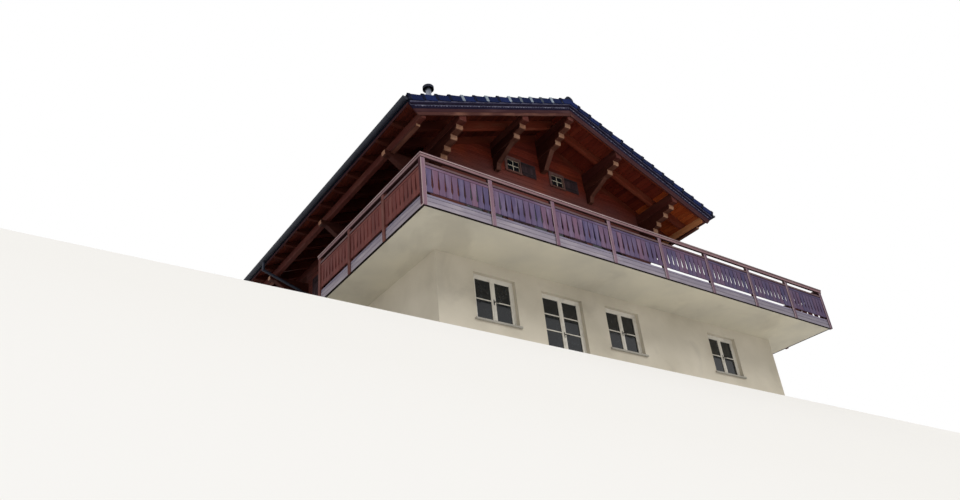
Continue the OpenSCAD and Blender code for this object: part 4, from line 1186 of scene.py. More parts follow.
@dataclass
class Balustrade:
    """The boards with their drop-shaped cut-outs, one by one, with a tongued joint between them."""

    rows: Rows
    board_w: float = 169 * MM
    joint: float = 9 * MM
    drop_r: float = 30 * MM
    drop_h: float = 385 * MM
    drop_slit: float = 13 * MM
    drop_low: float = 195 * MM
    drop_foot: float = 90 * MM
    tongue_in: float = 15 * MM
    tongue_t: float = 6 * MM
    edge: float = 4 * MM
    arc_steps: int = 6

    def half_drop(self) -> list[Pair]:
        """Gives the cut in a board's left edge.

        Returns:
            Distances from the joint's middle and heights, upwards.
        """
        half = self.joint / 2
        shares = [i / self.arc_steps for i in range(self.arc_steps + 1)]
        foot = [(half + (self.drop_r - half) * math.sin(math.pi / 2 * t),
                 self.drop_low - self.drop_foot * (1 - t)) for t in shares]
        return foot + [(self.drop_slit / 2, self.drop_low + self.drop_h),
                       (half, self.drop_low + self.drop_h + 1 * MM)]

    def board(self, step: float, height: float, thick: float, along_y: bool) -> BMesh:
        """Makes one board from the middle of one joint to the middle of the next.

        Args:
            step: Distance between the joints.
            height: The board's height.
            thick: Its thickness.
            along_y: Whether the row runs along Y.

        Returns:
            The board's mesh.
        """
        left = [(self.joint / 2, 0.0), *self.half_drop(), (self.joint / 2, height)]
        right = [(step - x, z) for x, z in reversed(left)]
        outline = [*right[::-1], *left[::-1]]
        bm = bmesh.new()
        across = Matrix(((0, 0, 1, 0), (1, 0, 0, 0), (0, 1, 0, 0), (0, 0, 0, 1)))
        add_prism(bm, outline, across if along_y else upright(), thick)
        soften(bm, self.edge)
        return bm

    def tongue(self, thick: float, along_y: bool, outside: int) -> BMesh:
        """Makes the tongue that closes a joint below the cut-out.

        Args:
            thick: The boards' thickness.
            along_y: Whether the row runs along Y.
            outside: 1 to set it back from the face towards rising X or Y, -1 from the other face.

        Returns:
            The tongue's mesh about the joint's foot.
        """
        reach, top = self.joint / 2 + 1 * MM, self.drop_low - self.drop_foot - 2 * MM
        back = self.tongue_in + self.tongue_t
        near, far = (thick - back, thick - self.tongue_in) if outside > 0 else (self.tongue_in, back)
        low, high = (-reach, near, 2 * MM), (reach, far, top)
        if along_y:
            low, high = (low[1], low[0], low[2]), (high[1], high[0], high[2])
        bm = bmesh.new()
        add_box(bm, low, high)
        return bm

    def build(self) -> None:
        """Makes the boards of each group of bays."""
        middle = node_box("terrace_slab").centre
        seed = 30
        for node, finish, slot in (("front_boards", FRONT_BOARD_WOOD, "weathered_wood"),
                                   ("side_boards", SIDE_BOARD_WOOD, "red_brown_wood"),
                                   ("back_boards", SIDE_BOARD_WOOD, "red_brown_wood")):
            bays, slots = [], []
            for bay in solid_boxes(node):
                along_y = bay.size.y > bay.size.x
                length = bay.size.y if along_y else bay.size.x
                count = max(2, round(length / self.board_w))
                step = length / count
                thick = bay.size.x if along_y else bay.size.y
                # In the back row, too, the tongue is set back from the face towards the front
                outside = 1 if along_y and bay.centre.x > middle.x else -1
                way = Vector((0, step, 0) if along_y else (step, 0, 0))
                board = self.board(step, bay.size.z, thick, along_y)
                tongue = self.tongue(thick, along_y, outside)
                bays += [self.rows.lay(board, bay.lo, finish, count, way, wobble=(0.4 * MM,) * 3, seed=seed),
                         self.rows.lay(tongue, bay.lo + way, BOARD_JOINT, count - 1, way, seed=seed)]
                slots += [0, 1]
                seed += 1
            add_piece(f"cut_{node}", lay_grain(joined(bays, slots), Grain.UPRIGHT, seed),
                      [finish, BOARD_JOINT], slot, [node])


def clipped(outline: Sequence[Pair], line: Callable[[float], float]) -> list[Pair]:
    """Cuts a convex outline along a straight line and keeps what is above it.

    Args:
        outline: Corners in X and Z.
        line: Height of the line over a point x.

    Returns:
        The corners of what is left.
    """
    kept = []
    for (x0, z0), (x1, z1) in zip(outline, [*outline[1:], outline[0]]):
        a, b = z0 - line(x0), z1 - line(x1)
        if a >= 0:
            kept.append((x0, z0))
        if a * b < 0:
            t = a / (a - b)
            kept.append((x0 + t * (x1 - x0), z0 + t * (z1 - z0)))
    return kept


@dataclass(frozen=True)
class VergeLayer:
    """One board or strip along the verge: its outer face, its thickness, and how far below the tiles' top
    its upper and lower edges lie."""

    face_y: float
    thick: float
    top: float
    low: float


@dataclass
class Roof:
    """The roof's covering and boarding, each tile and board by itself."""

    rows: Rows
    pitch: float = ROOF_PITCH
    courses: int = 14
    tile_w: float = 300 * MM
    tile_t: float = 16 * MM
    tile_lap: float = 70 * MM
    tile_in: float = 5 * MM
    bed_in: float = 6 * MM
    bed_top: float = 34 * MM
    ridge_gap: float = 3 * MM
    thick: float = 140 * MM
    board_w: float = 140 * MM
    board_t: float = 24 * MM
    # Share of the right slope's boards, at its eave, that carry the pale painted light
    painted_light_share: float = 0.27
    lip_x: float = 5.02
    lip_t: float = 50 * MM
    flap_t: float = 25 * MM
    flap_h: float = 165 * MM
    flap_lift: float = 19 * MM
    collar_w: float = 85 * MM
    flap_lap: float = 30 * MM
    flap_edge: float = 5 * MM
    collar_lift: float = 11 * MM
    collar_proud: float = 5 * MM
    # How much pale painted highlight each collar of the left slope carries, from the ridge down
    collar_glint_tones: tuple[float, ...] = (0.0, 1.0, 0.6, 0.95, 0.7, 1.0, 0.4, 0.95, 0.0, 0.9)
    other_glint_tone: float = 0.1
    verge_board: VergeLayer = VergeLayer(4.820, 25 * MM, 151.2 * MM, 244 * MM)
    barge_top: VergeLayer = VergeLayer(4.790, 30 * MM, 151.2 * MM, 352 * MM)
    barge: VergeLayer = VergeLayer(4.790, 30 * MM, 354 * MM, 448 * MM)
    barge_low: VergeLayer = VergeLayer(4.790, 30 * MM, 451 * MM, 536 * MM)
    upper_strip: VergeLayer = VergeLayer(4.825, 5 * MM, 151.2 * MM, 195 * MM)
    lower_strip: VergeLayer = VergeLayer(4.795, 5 * MM, 151.2 * MM, 262 * MM)
    scallop_w: float = 84 * MM
    scallop_h: float = 34 * MM
    scallop_t: float = 4 * MM
    scallop_neck: float = 6 * MM
    scallop_end: float = 120 * MM
    end_half: float = 34 * MM

    def __post_init__(self) -> None:
        """Takes the roof's reach from the frame."""
        tiles = node_box("right_tiles")
        self.eave_x = tiles.hi.x
        self.half_y = tiles.hi.y
        self.deck = node_box("roof_boards")
        self.gauge = self.eave_x / self.courses
        self.slope = math.tan(self.pitch)
        joint_drop = self.ridge_gap * self.slope
        self.top_z = self.deck.hi.z + self.thick / math.cos(self.pitch) + joint_drop

    def mean_top(self, out: float) -> float:
        """Returns the height of the tiles' mean top at a level distance from the ridge line."""
        return self.top_z - out * self.slope

    def place(self, side: int, out: float, y: float, lift: float) -> Matrix:
        """Gives the axes of a slope at a point: X down it, Y along the ridge, Z out of it.

        Args:
            side: 1 for the right slope, -1 for the left.
            out: Distance from the ridge line, level.
            y: Place along the ridge.
            lift: Distance out of the tiles' mean top.

        Returns:
            The matrix from the slope's axes to the row frame.
        """
        down = Vector((side * math.cos(self.pitch), 0.0, -math.sin(self.pitch)))
        out_of = Vector((side * math.sin(self.pitch), 0.0, math.cos(self.pitch)))
        along = Vector((0.0, 1.0, 0.0))
        at = Vector((side * out, y, self.mean_top(out))) + out_of * lift
        return Matrix(((down.x, along.x, out_of.x, at.x), (down.y, along.y, out_of.y, at.y),
                       (down.z, along.z, out_of.z, at.z), (0, 0, 0, 1)))

    def turned(self, one: BMesh, axes: Matrix, side: int) -> BMesh:
        """Turns a shape from a slope's axes to the row frame, about its own origin.

        Args:
            one: The shape.
            axes: The slope's axes.
            side: 1 for the right slope, -1 for the left, whose axes mirror it.

        Returns:
            The same shape.
        """
        one.transform(axes.to_3x3().to_4x4())
        if side < 0:
            bmesh.ops.reverse_faces(one, faces=one.faces)
        return one

    def down(self, side: int, step: float) -> Vector:
        """Returns the way down a slope over a level distance."""
        return Vector((side * step, 0.0, -step * self.slope))

    def tile(self) -> BMesh:
        """Makes one interlocking tile: two shallow troughs, a raised side rib and a thick lower edge.

        Returns:
            The tile's mesh in slope axes, its head at the origin.
        """
        length = self.gauge / math.cos(self.pitch)
        half = self.tile_w / 2
        profile = [(-half, 9 * MM), (-half + 12 * MM, 12 * MM), (-half + 30 * MM, 11 * MM),
                   (-half + 44 * MM, 0.0), (-45 * MM, -4 * MM), (-20 * MM, 0.0), (0.0, 7 * MM),
                   (20 * MM, 0.0), (45 * MM, -4 * MM), (half - 36 * MM, 0.0), (half - 22 * MM, 7 * MM),
                   (half - 2 * MM, 8 * MM)]
        outline = profile + [(y, z - self.tile_t) for y, z in reversed(profile)]
        bm = bmesh.new()
        tilt = self.tile_t * 0.8
        high = [bm.verts.new((-self.tile_lap, y, z - tilt)) for y, z in outline]
        low = [bm.verts.new((length, y, z + tilt)) for y, z in outline]
        count = len(outline)
        bm.faces.new(high)
        bm.faces.new(list(reversed(low)))
        for i in range(count):
            j = (i + 1) % count
            bm.faces.new((high[i], low[i], low[j], high[j]))
        bmesh.ops.recalc_face_normals(bm, faces=bm.faces)
        return bm

    def tiles(self) -> None:
        """Lays the tiles of both slopes over their battened bed."""
        across = 2 * (self.half_y - self.tile_in)
        count = round(across / self.tile_w)
        step = across / count
        for side, node in ((1, "right_tiles"), (-1, "left_tiles")):
            axes = self.place(side, 0.0, -self.half_y + self.tile_in + step / 2, 0.0)
            laid = self.rows.lay(self.turned(self.tile(), axes, side), axes.translation, ROOF_CLAY, count,
                                 (0, step, 0), rows=self.courses, row_step=self.down(side, self.gauge),
                                 wobble=(1.2 * MM, 1.5 * MM, 1 * MM), turn=(0.004, 0.004, 0.004),
                                 seed=50 + side)
            add_piece(f"laid_{node}", joined([laid, self.bed(side)]), [ROOF_CLAY], "roof_tile", [node])

    def bed(self, side: int) -> Mesh:
        """Makes the closed bed of battens and membrane under the tiles of one slope, thin past the fascia.

        Args:
            side: 1 for the right slope, -1 for the left.

        Returns:
            The bed's mesh.
        """
        end = (self.eave_x - 12 * MM) / math.cos(self.pitch)
        lip = self.lip_x / math.cos(self.pitch)
        top, low, start = -self.bed_top, -self.thick, self.ridge_gap + 1 * MM
        outline = [(start, low), (lip, low), (lip, -self.lip_t), (end, -self.lip_t), (end, top), (start, top)]
        bm = bmesh.new()
        half = self.half_y - self.bed_in
        add_prism(bm, outline, self.place(side, 0.0, -half, 0.0) @ upright(), 2 * half)
        return plain_mesh("bed", bm)

    def soffit(self) -> None:
        """Lays the tongued boards that show from below between the rafters."""
        run = self.deck.hi.x / math.cos(self.pitch)
        count = round(run / self.board_w)
        step = run / count
        meshes = []
        # The right slope's boards carry a warm painted sunlight, and those nearest its eave a paler painted
        # light
        painted_lit = round(count * self.painted_light_share)
        for side, first, total, finish in ((-1, 0, count, SOFFIT_SHADED), (1, 0, count - painted_lit, SOFFIT_PAINTED_SUNLIGHT),
                                           (1, count - painted_lit, painted_lit, SOFFIT_PAINTED_BOUNCE_LIGHT)):
            bm = bmesh.new()
            low = -self.thick - self.board_t
            add_box(bm, (1 * MM, 0, low), (step - 1 * MM, self.deck.size.y, -self.thick))
            soften(bm, 6 * MM)
            axes = self.place(side, 0.0, self.deck.lo.y, 0.0)
            way = axes.to_3x3() @ Vector((step, 0, 0))
            meshes.append(self.rows.lay(self.turned(bm, axes, side), axes.translation + first * way, finish,
                                        total, way, seed=60 + side + first))
        add_piece("tongued_roof_boards", lay_grain(joined(meshes, [0, 1, 2]), Grain.ALONG_Y, 61),
                  [SOFFIT_SHADED, SOFFIT_PAINTED_SUNLIGHT, SOFFIT_PAINTED_BOUNCE_LIGHT], "soffit_wood", ["roof_boards"])

    def verge_tile(self, side: int, collar: bool) -> BMesh:
        """Makes a verge tile's flap, or the thick collar round its lower end.

        Args:
            side: 1 for the right slope, -1 for the left.
            collar: Whether the collar is made.

        Returns:
            The shape, turned to the slope, its outer face towards the front.
        """
        length = self.gauge / math.cos(self.pitch)
        low, lift = -self.flap_h * math.cos(self.pitch), self.flap_lift
        bm = bmesh.new()
        if collar:
            start, end, proud = length - self.collar_w, length + 4 * MM, self.collar_proud
            near = lift * (2 * start / length - 1) + self.collar_lift
            outline = [(start, low + near - self.collar_lift), (end, low + lift),
                       (end, lift + self.collar_lift), (start, near)]
            add_prism(bm, outline, upright(-proud), self.flap_t + proud)
        else:
            head = -self.flap_lap
            outline = [(head, low - lift / 2), (length, low + lift), (length, lift), (head, -lift)]
            add_prism(bm, outline, upright(), self.flap_t)
        soften(bm, self.flap_edge)
        return self.turned(bm, self.place(side, 0.0, 0.0, 0.0), side)

    def verge(self) -> None:
        """Sets the verge tiles: each laps the next, with a thick collar at its lower end."""
        box = node_box("verge_tiles")
        meshes, slots = [], []
        for end in (1, -1):
            for side in (1, -1):
                start = Vector((0, box.hi.y - self.flap_t if end > 0 else box.lo.y, self.top_z))
                for collar, finish in ((False, VERGE_CLAY), (True, COLLAR_CLAY)):
                    one = self.verge_tile(side, collar)
                    if end > 0:
                        bmesh.ops.scale(one, vec=(1, -1, 1), verts=one.verts)
                        bmesh.ops.translate(one, vec=(0, self.flap_t, 0), verts=one.verts)
                        bmesh.ops.reverse_faces(one, faces=one.faces)
                    row = self.rows.lay(one, start, finish, self.courses, self.down(side, self.gauge),
                                        wobble=(2 * MM, 0.6 * MM, 2 * MM), turn=(0.0, 0.012, 0.0),
                                        seed=70 + 2 * end + side)
                    if collar:
                        # Only the left slope's collars get their listed painted highlights
                        glinting = self.collar_glint_tones if side < 0 else ()
                        toned(row, [*glinting, *[self.other_glint_tone] * (self.courses - len(glinting))])
                    meshes.append(row)
                    slots.append(int(collar))
        add_piece("lapped_verge_tiles", joined(meshes, slots), [VERGE_CLAY, COLLAR_CLAY], "roof_tile",
                  ["verge_tiles"])

    def layer(self, bm: BMesh, layer: VergeLayer, slot: int = 0) -> None:
        """Adds one layer of the verge on both slopes and at both gables, its lower end cut at 45 degrees.

        Args:
            bm: The mesh that gets it.
            layer: The layer.
            slot: Material slot of its faces.
        """
        rafters = node_box("rafters")
        tail, cut = rafters.hi.x, rafters.lo.z + self.end_half
        corners = ((self.ridge_gap, layer.top), (self.ridge_gap, layer.low), (tail, layer.low),
                   (tail, layer.top))
        outline = clipped([(x, self.mean_top(x) - drop) for x, drop in corners], lambda x: cut + x - tail)
        for side in (1, -1):
            for y in (-layer.face_y, layer.face_y - layer.thick):
                add_prism(bm, outline, upright(y, side), layer.thick, slot)

    def verge_boards(self) -> None:
        """Makes the upper board and the barge's planks; the upper board and the barge's top band carry a
        near-black painted shadow below the drip strip.
        """
        bm = bmesh.new()
        for slot, layer in ((0, self.barge), (1, self.verge_board), (1, self.barge_top), (2, self.barge_low)):
            self.layer(bm, layer, slot)
        soften(bm, 4 * MM)
        add_piece("verge_planks", lay_grain(plain_mesh("verge_boards", bm), Grain.DOWN_SLOPE, 24),
                  [BARGE_WOOD, VERGE_SHADOW_WOOD, BARGE_EDGE], "red_brown_wood", ["barge_boards"])

    def verge_strips(self) -> None:
        """Makes the two drip strips, the lower one with a row of scallops along its edge."""
        bm = bmesh.new()
        self.layer(bm, self.upper_strip)
        self.layer(bm, self.lower_strip)
        meshes, slots = [plain_mesh("strips", bm)], [0]
        run = self.lip_x - self.scallop_end
        count = int(run / self.scallop_w)
        radius = self.scallop_w / 2 - 2 * MM
        squash = (self.scallop_h - self.scallop_neck) / radius
        curve = [(x, -self.scallop_neck - squash * z) for x, z in arc(radius, 0.0, math.pi, 6)]
        outline = [(-radius, 0.0), *reversed(curve), (radius, 0.0)]
        for side in (1, -1):
            for y in (-self.lower_strip.face_y, self.lower_strip.face_y - self.scallop_t):
                one = bmesh.new()
                add_prism(one, outline, upright(side=side, lean=-self.slope), self.scallop_t)
                first = Vector((side * self.scallop_w / 2, y,
                                self.mean_top(self.scallop_w / 2) - self.lower_strip.low + 3 * MM))
                meshes.append(self.rows.lay(one, first, SCALLOP_SHEET, count, self.down(side, self.scallop_w),
                                            wobble=(1 * MM, 0, 3 * MM), seed=90))
                slots.append(1)
        add_piece("scalloped_verge_strips", joined(meshes, slots), [STRIP_SHEET, SCALLOP_SHEET],
                  "sheet_metal", ["verge_strips"])

    def build(self) -> None:
        """Builds the covering and the boarding."""
        self.tiles()
        self.soffit()
        self.verge()
        self.verge_boards()
        self.verge_strips()
        dress("ridge_tiles", ROOF_CLAY)


@dataclass
class Drainage:
    """Gutters with their rolled beads and straps, the downpipes, and the flue."""

    rows: Rows
    radius: float = 75 * MM
    bead_r: float = 9 * MM
    strap_w: float = 25 * MM
    strap_t: float = 4 * MM
    strap_step: float = 740 * MM
    flue_r: float = 75 * MM
    cap_r: float = 150 * MM
    hood_h: float = 115 * MM
    apron_w: float = 110 * MM
    apron_h: float = 140 * MM
    seam: float = 3 * MM
    seam_step: float = 500 * MM
    mouth_drop: float = 90 * MM
    mouth_in: float = 120 * MM
    wall_t: float = 8 * MM
    leg_r: float = 9 * MM
    legs: int = 4
    sides: int = 32

    def straps(self) -> None:
        """Makes the straps under the gutters and the bead along each gutter's outer rim."""
        box = node_box("gutters")
        rim, middle = box.hi.z, box.hi.x - self.radius
        count = int(box.size.y / self.strap_step) + 1
        start = (box.lo.y + box.hi.y - (count - 1) * self.strap_step) / 2
        inner, outer = self.radius + 0.5 * MM, self.radius + self.strap_t
        outline = [*arc(outer, math.pi, math.pi, 12), *reversed(arc(inner, math.pi, math.pi, 12))]
        meshes = []
        for side in (1, -1):
            one = bmesh.new()
            add_prism(one, outline, upright(-self.strap_w / 2), self.strap_w)
            meshes.append(self.rows.lay(one, Vector((side * middle, start, rim)), GUTTER_SHEET, count,
                                        (0, self.strap_step, 0)))
            bead = bmesh.new()
            x = side * (middle + self.radius - 2 * MM)
            add_rod(bead, Vector((x, box.lo.y, rim)), Vector((x, box.hi.y, rim)), self.bead_r)
            meshes.append(plain_mesh("bead", bead))
        add_piece("gutter_straps", joined(meshes), [GUTTER_SHEET], "zinc")

    def flue(self) -> None:
        """Makes the flue: a rolled pipe with seams, a lead apron, and a deep coned hood on four legs."""
        box = node_box("flue")
        middle, foot, top = box.centre, box.lo.z, box.hi.z
        axis = Vector((middle.x, middle.y, 0))
        mouth, rim, ceiling = top - self.mouth_drop, top - self.hood_h, top - 34 * MM
        bore, proud = self.flue_r - self.wall_t, self.flue_r + self.seam
        pipe = [(0.0, foot)]
        for z in np.arange(foot, mouth - 80 * MM, self.seam_step):
            pipe += [(self.flue_r, z), (self.flue_r, z + 20 * MM), (proud, z + 25 * MM), (proud, z + 40 * MM),
                     (self.flue_r, z + 45 * MM)]
        pipe += [(self.flue_r, mouth), (bore, mouth), (bore, mouth - self.mouth_in),
                 (0.0, mouth - self.mouth_in)]
        cap = [(0.0, ceiling - 4 * MM), (self.cap_r - 6 * MM, ceiling - 8 * MM), (self.cap_r - 6 * MM, rim),
               (self.cap_r, rim), (self.cap_r, ceiling), (self.cap_r * 0.5, top - 5 * MM), (0.0, top)]
        bm = bmesh.new()
        add_lathe(bm, pipe, axis, self.sides, 0)
        add_lathe(bm, cap, axis, self.sides, 1)
        for x, y in arc(self.flue_r - 10 * MM, math.pi / 4, 2 * math.pi, self.legs)[:-1]:
            at = axis + Vector((x, y, 0))
            add_rod(bm, at + Vector((0, 0, mouth - 40 * MM)), at + Vector((0, 0, ceiling)), self.leg_r, 8)
        count = len(bm.verts)
        reach, close = self.flue_r + self.apron_w, self.flue_r + 1 * MM
        apron = [(close, foot), (reach, foot), (reach, foot + 6 * MM),
                 (self.flue_r + 12 * MM, foot + self.apron_h), (close, foot + self.apron_h + 5 * MM)]
        add_lathe(bm, apron, axis, self.sides, 2)
        bm.verts.ensure_lookup_table()
        slope = math.tan(ROOF_PITCH)
        fall, lift = math.copysign(slope, middle.x), self.flue_r * slope + 6 * MM
        # The apron's foot follows the whole fall of the tiles, and its collar less than half of it
        for vert in bm.verts[count:]:
            off = vert.co - axis
            share = max(0.0, (off.xy.length - self.flue_r) / self.apron_w)
            vert.co.z += lift - fall * off.x * (0.4 + 0.6 * share)
        add_piece("capped_flue", bm, [FLUE_STEEL, CAP_STEEL, APRON_LEAD], "flue_steel", ["flue"])

    def build(self) -> None:
        """Builds the metalwork."""
        dress("gutters", GUTTER_SHEET)
        dress("downpipes", PIPE_SHEET)
        self.straps()
        self.flue()


class Side(Enum):
    """Which wall an opening is in: the axis along the wall and the way out of it."""

    FRONT = (0, -1)
    BACK = (0, 1)
    LEFT = (1, -1)
    RIGHT = (1, 1)


@dataclass
class Opening:
    """A window or door seen from outside, with U along its wall, V up and W out of the frame's face."""

    box: Box

    def __post_init__(self) -> None:
        """Finds the wall that the frame is in."""
        along = 1 if self.box.size.y > self.box.size.x else 0
        self.out_axis = 1 - along
        self.side = Side((along, 1 if self.box.centre[self.out_axis] > 0 else -1))
        self.width = self.box.size[along]
        self.height = self.box.size.z
        self.face = (self.box.hi if self.side.value[1] > 0 else self.box.lo)[self.out_axis]

    def put(self, bm: BMesh, u: Pair, v: Pair, w: Pair, slot: int) -> None:
        """Adds a box given in the opening's own axes.

        Args:
            bm: The mesh that gets it.
            u: Its reach along the wall.
            v: Its reach upwards.
            w: Its reach out of the frame's face.
            slot: Material slot of its faces.
        """
        along, way = self.side.value
        ends = sorted(self.face + way * reach for reach in w)
        lo, hi = [0.0, 0.0, self.box.lo.z + v[0]], [0.0, 0.0, self.box.lo.z + v[1]]
        lo[along], hi[along] = self.box.lo[along] + u[0], self.box.lo[along] + u[1]
        lo[self.out_axis], hi[self.out_axis] = ends
        add_box(bm, lo, hi, slot)

    def ring(self, bm: BMesh, u: Pair, v: Pair, bar: float, w: Pair, slot: int) -> None:
        """Adds four bars round a rectangle, with upright stiles between two rails.

        Args:
            bm: The mesh that gets them.
            u: The rectangle's reach along the wall.
            v: Its reach upwards.
            bar: Width of the bars.
            w: Their reach out of the frame's face.
            slot: Material slot of their faces.
        """
        for start in (v[0], v[1] - bar):
            self.put(bm, (u[0] + bar, u[1] - bar), (start, start + bar), w, slot)
        for start in (u[0], u[1] - bar):
            self.put(bm, (start, start + bar), v, w, slot)


@dataclass
class Openings:
    """Window and door frames with their sashes, bars, panes, sills, casings and shutters."""

    frame_w: float = 45 * MM
    frame_d: float = 70 * MM
    sash_w: float = 62 * MM
    sash_in: float = 10 * MM
    sash_d: float = 48 * MM
    bar_w: float = 24 * MM
    cover_w: float = 34 * MM
    pane_t: float = 6 * MM
    kick_h: float = 520 * MM
    kick_boards: int = 4
    attic_frame: float = 32 * MM
    attic_sash: float = 24 * MM
    attic_bar: float = 19 * MM
    casing_wide: float = 45 * MM
    casing_tight: float = 14 * MM
    reveal: float = 100 * MM
    edge: float = 3 * MM
    # What is taller than this is a door, and what is narrower than this is an attic window
    door_h: float = 1.9
    attic_w: float = 0.6
    door_grip: float = 1.05
    window_grip: float = 0.48
    shutter_board_w: float = 105 * MM
    board_gap: float = 3 * MM
    batten_w: float = 75 * MM
    batten_t: float = 12 * MM
    batten_places: Pair = (0.16, 0.84)
    hinge_w: float = 28 * MM
    hinge_reach: float = 0.8

    def leaf(self, wood: BMesh, glass: BMesh, at: Opening, u: Pair, door: bool) -> None:
        """Makes one sash or door leaf: its frame, its bars, its pane and a door's boarded foot.

        Args:
            wood: The mesh that gets its timber.
            glass: The mesh that gets its pane.
            at: The opening.
            u: The leaf's reach along the wall.
            door: Whether it is a door's leaf.
        """
        v = (self.frame_w, at.height - self.frame_w)
        w = (-self.sash_in - self.sash_d, -self.sash_in)
        at.ring(wood, u, v, self.sash_w, w, 1)
        inner = (u[0] + self.sash_w, u[1] - self.sash_w)
        low = v[0] + self.sash_w
        top = v[1] - self.sash_w
        middle = (w[0] + w[1]) / 2
        if door:
            kick = low + self.kick_h
            at.put(wood, inner, (kick, kick + self.sash_w), w, 1)
            step = (inner[1] - inner[0]) / self.kick_boards
            for i in range(self.kick_boards):
                at.put(wood, (inner[0] + i * step + 1 * MM, inner[0] + (i + 1) * step - 1 * MM), (low, kick),
                       (middle - 12 * MM, middle + 12 * MM), 1)
            low = kick + self.sash_w
        at.put(glass, inner, (low, top), (middle - self.pane_t / 2, middle + self.pane_t / 2), 0)
        bars = 2 if door else 1
        half = self.bar_w / 2
        for i in range(bars):
            z = low + (top - low) * (i + 1) / (bars + 1)
            at.put(wood, inner, (z - half, z + half), (middle - 10 * MM, w[1] - 4 * MM), 1)

    def casement(self, wood: BMesh, glass: BMesh, at: Opening) -> None:
        """Makes a two-leaved window or door with the strip that covers its meeting stiles and its handle.

        Args:
            wood: The mesh that gets its timber: frame 0, sashes 1, sill 2, ironwork 3.
            glass: The mesh that gets its panes.
            at: The opening.
        """
        door = at.height > self.door_h
        at.ring(wood, (0, at.width), (0, at.height), self.frame_w, (-self.frame_d, 0), 0)
        middle = at.width / 2
        self.leaf(wood, glass, at, (self.frame_w, middle), door)
        self.leaf(wood, glass, at, (middle, at.width - self.frame_w), door)
        face = -self.sash_in
        at.put(wood, (middle - self.cover_w / 2, middle + self.cover_w / 2),
               (self.frame_w + 2 * MM, at.height - self.frame_w - 2 * MM), (face, face + 8 * MM), 1)
        grip = self.door_grip if door else at.height * self.window_grip
        # The handle's plate, its lever and the neck between them, in millimetres
        for left, right, half, near, far in ((12, 12, 70, 8, 11), (9, 110, 9, 38, 52), (9, 9, 9, 11, 38)):
            at.put(wood, (middle - left * MM, middle + right * MM), (grip - half * MM, grip + half * MM),
                   (face + near * MM, face + far * MM), 3)

    def lower(self) -> None:
        """Makes the masonry storey's painted windows and door, with their stone sills."""
        wood, glass = bmesh.new(), bmesh.new()
        for box in solid_boxes("lower_window_frames"):
            at = Opening(box)
            self.casement(wood, glass, at)
            if at.height < self.door_h:
                at.put(wood, (0, at.width), (-2 * MM, 34 * MM), (0, self.reveal), 2)
                at.put(wood, (-50 * MM, at.width + 50 * MM), (-12 * MM, 34 * MM),
                       (self.reveal, self.reveal + 45 * MM), 2)
        soften(wood, self.edge)
        add_piece("painted_lower_windows", wood, [FRAME_PAINT, FRAME_PAINT, SILL_STONE, IRONWORK],
                  "white_paint", ["lower_window_frames"])
        add_piece("lower_panes", glass, [PANE_GLASS], "window_glass", ["lower_glass"])

    def upper(self) -> None:
        """Makes the timber storey's windows and doors, and the small attic windows with their casings."""
        wood, glass = bmesh.new(), bmesh.new()
        for box in solid_boxes("upper_window_frames"):
            at = Opening(box)
            if at.width < self.attic_w:
                self.attic(wood, glass, at)
                continue
            self.casement(wood, glass, at)
            if at.height < self.door_h:
                at.put(wood, (0, at.width), (-2 * MM, 28 * MM), (0, self.reveal), 2)
        soften(wood, self.edge)
        add_piece("upper_windows", lay_grain(plain_mesh("upper_windows", wood), Grain.UPRIGHT, 85),
                  [FRAME_WOOD, FRAME_WOOD, SILL_WOOD, IRONWORK, CASING_WOOD, SASH_PAINT, SASH_WORN],
                  "ochre_wood", ["upper_window_frames"])
        add_piece("upper_panes", glass, [PANE_GLASS], "window_glass", ["upper_glass"])

    def attic(self, wood: BMesh, glass: BMesh, at: Opening) -> None:
        """Makes an attic window: brown casing, worn sash with two crossed pale bars, and one dark pane.

        Args:
            wood: The mesh that gets its timber: sill 2, casing 4, bars 5, sash 6.
            glass: The mesh that gets its pane.
            at: The opening.
        """
        casing, depth = self.attic_frame, -self.frame_d
        half, middle, across = self.attic_bar / 2, at.width / 2, at.height / 2
        lo, hi, top = casing + self.attic_sash, at.width - casing - self.attic_sash, at.height - casing
        outer, inner = (-self.casing_wide, at.width + self.casing_tight), (casing, at.width - casing)
        for u, v, w, slot in (
                ((outer[0], inner[0]), (0, at.height), (depth, 20 * MM), 4),
                ((inner[1], outer[1]), (0, at.height), (depth, 20 * MM), 4),
                (outer, (top, at.height + self.casing_wide), (0, 22 * MM), 4),
                (inner, (top, at.height), (depth, 0), 4),
                (inner, (0, casing), (depth, 0), 4),
                ((outer[0] - 10 * MM, outer[1]), (-36 * MM, 4 * MM), (0, 42 * MM), 2),
                (inner, (4 * MM, casing), (0, 20 * MM), 4)):
            at.put(wood, u, v, w, slot)
        at.ring(wood, inner, (casing, top), self.attic_sash, (-34 * MM, -6 * MM), 6)
        for u, v in (((middle - half, middle + half), (lo, at.height - lo)),
                     ((lo, middle - half), (across - half, across + half)),
                     ((middle + half, hi), (across - half, across + half))):
            at.put(wood, u, v, (-30 * MM, -10 * MM), 5)
        at.put(glass, (lo, hi), (lo, at.height - lo), (-24 * MM, -20 * MM), 0)

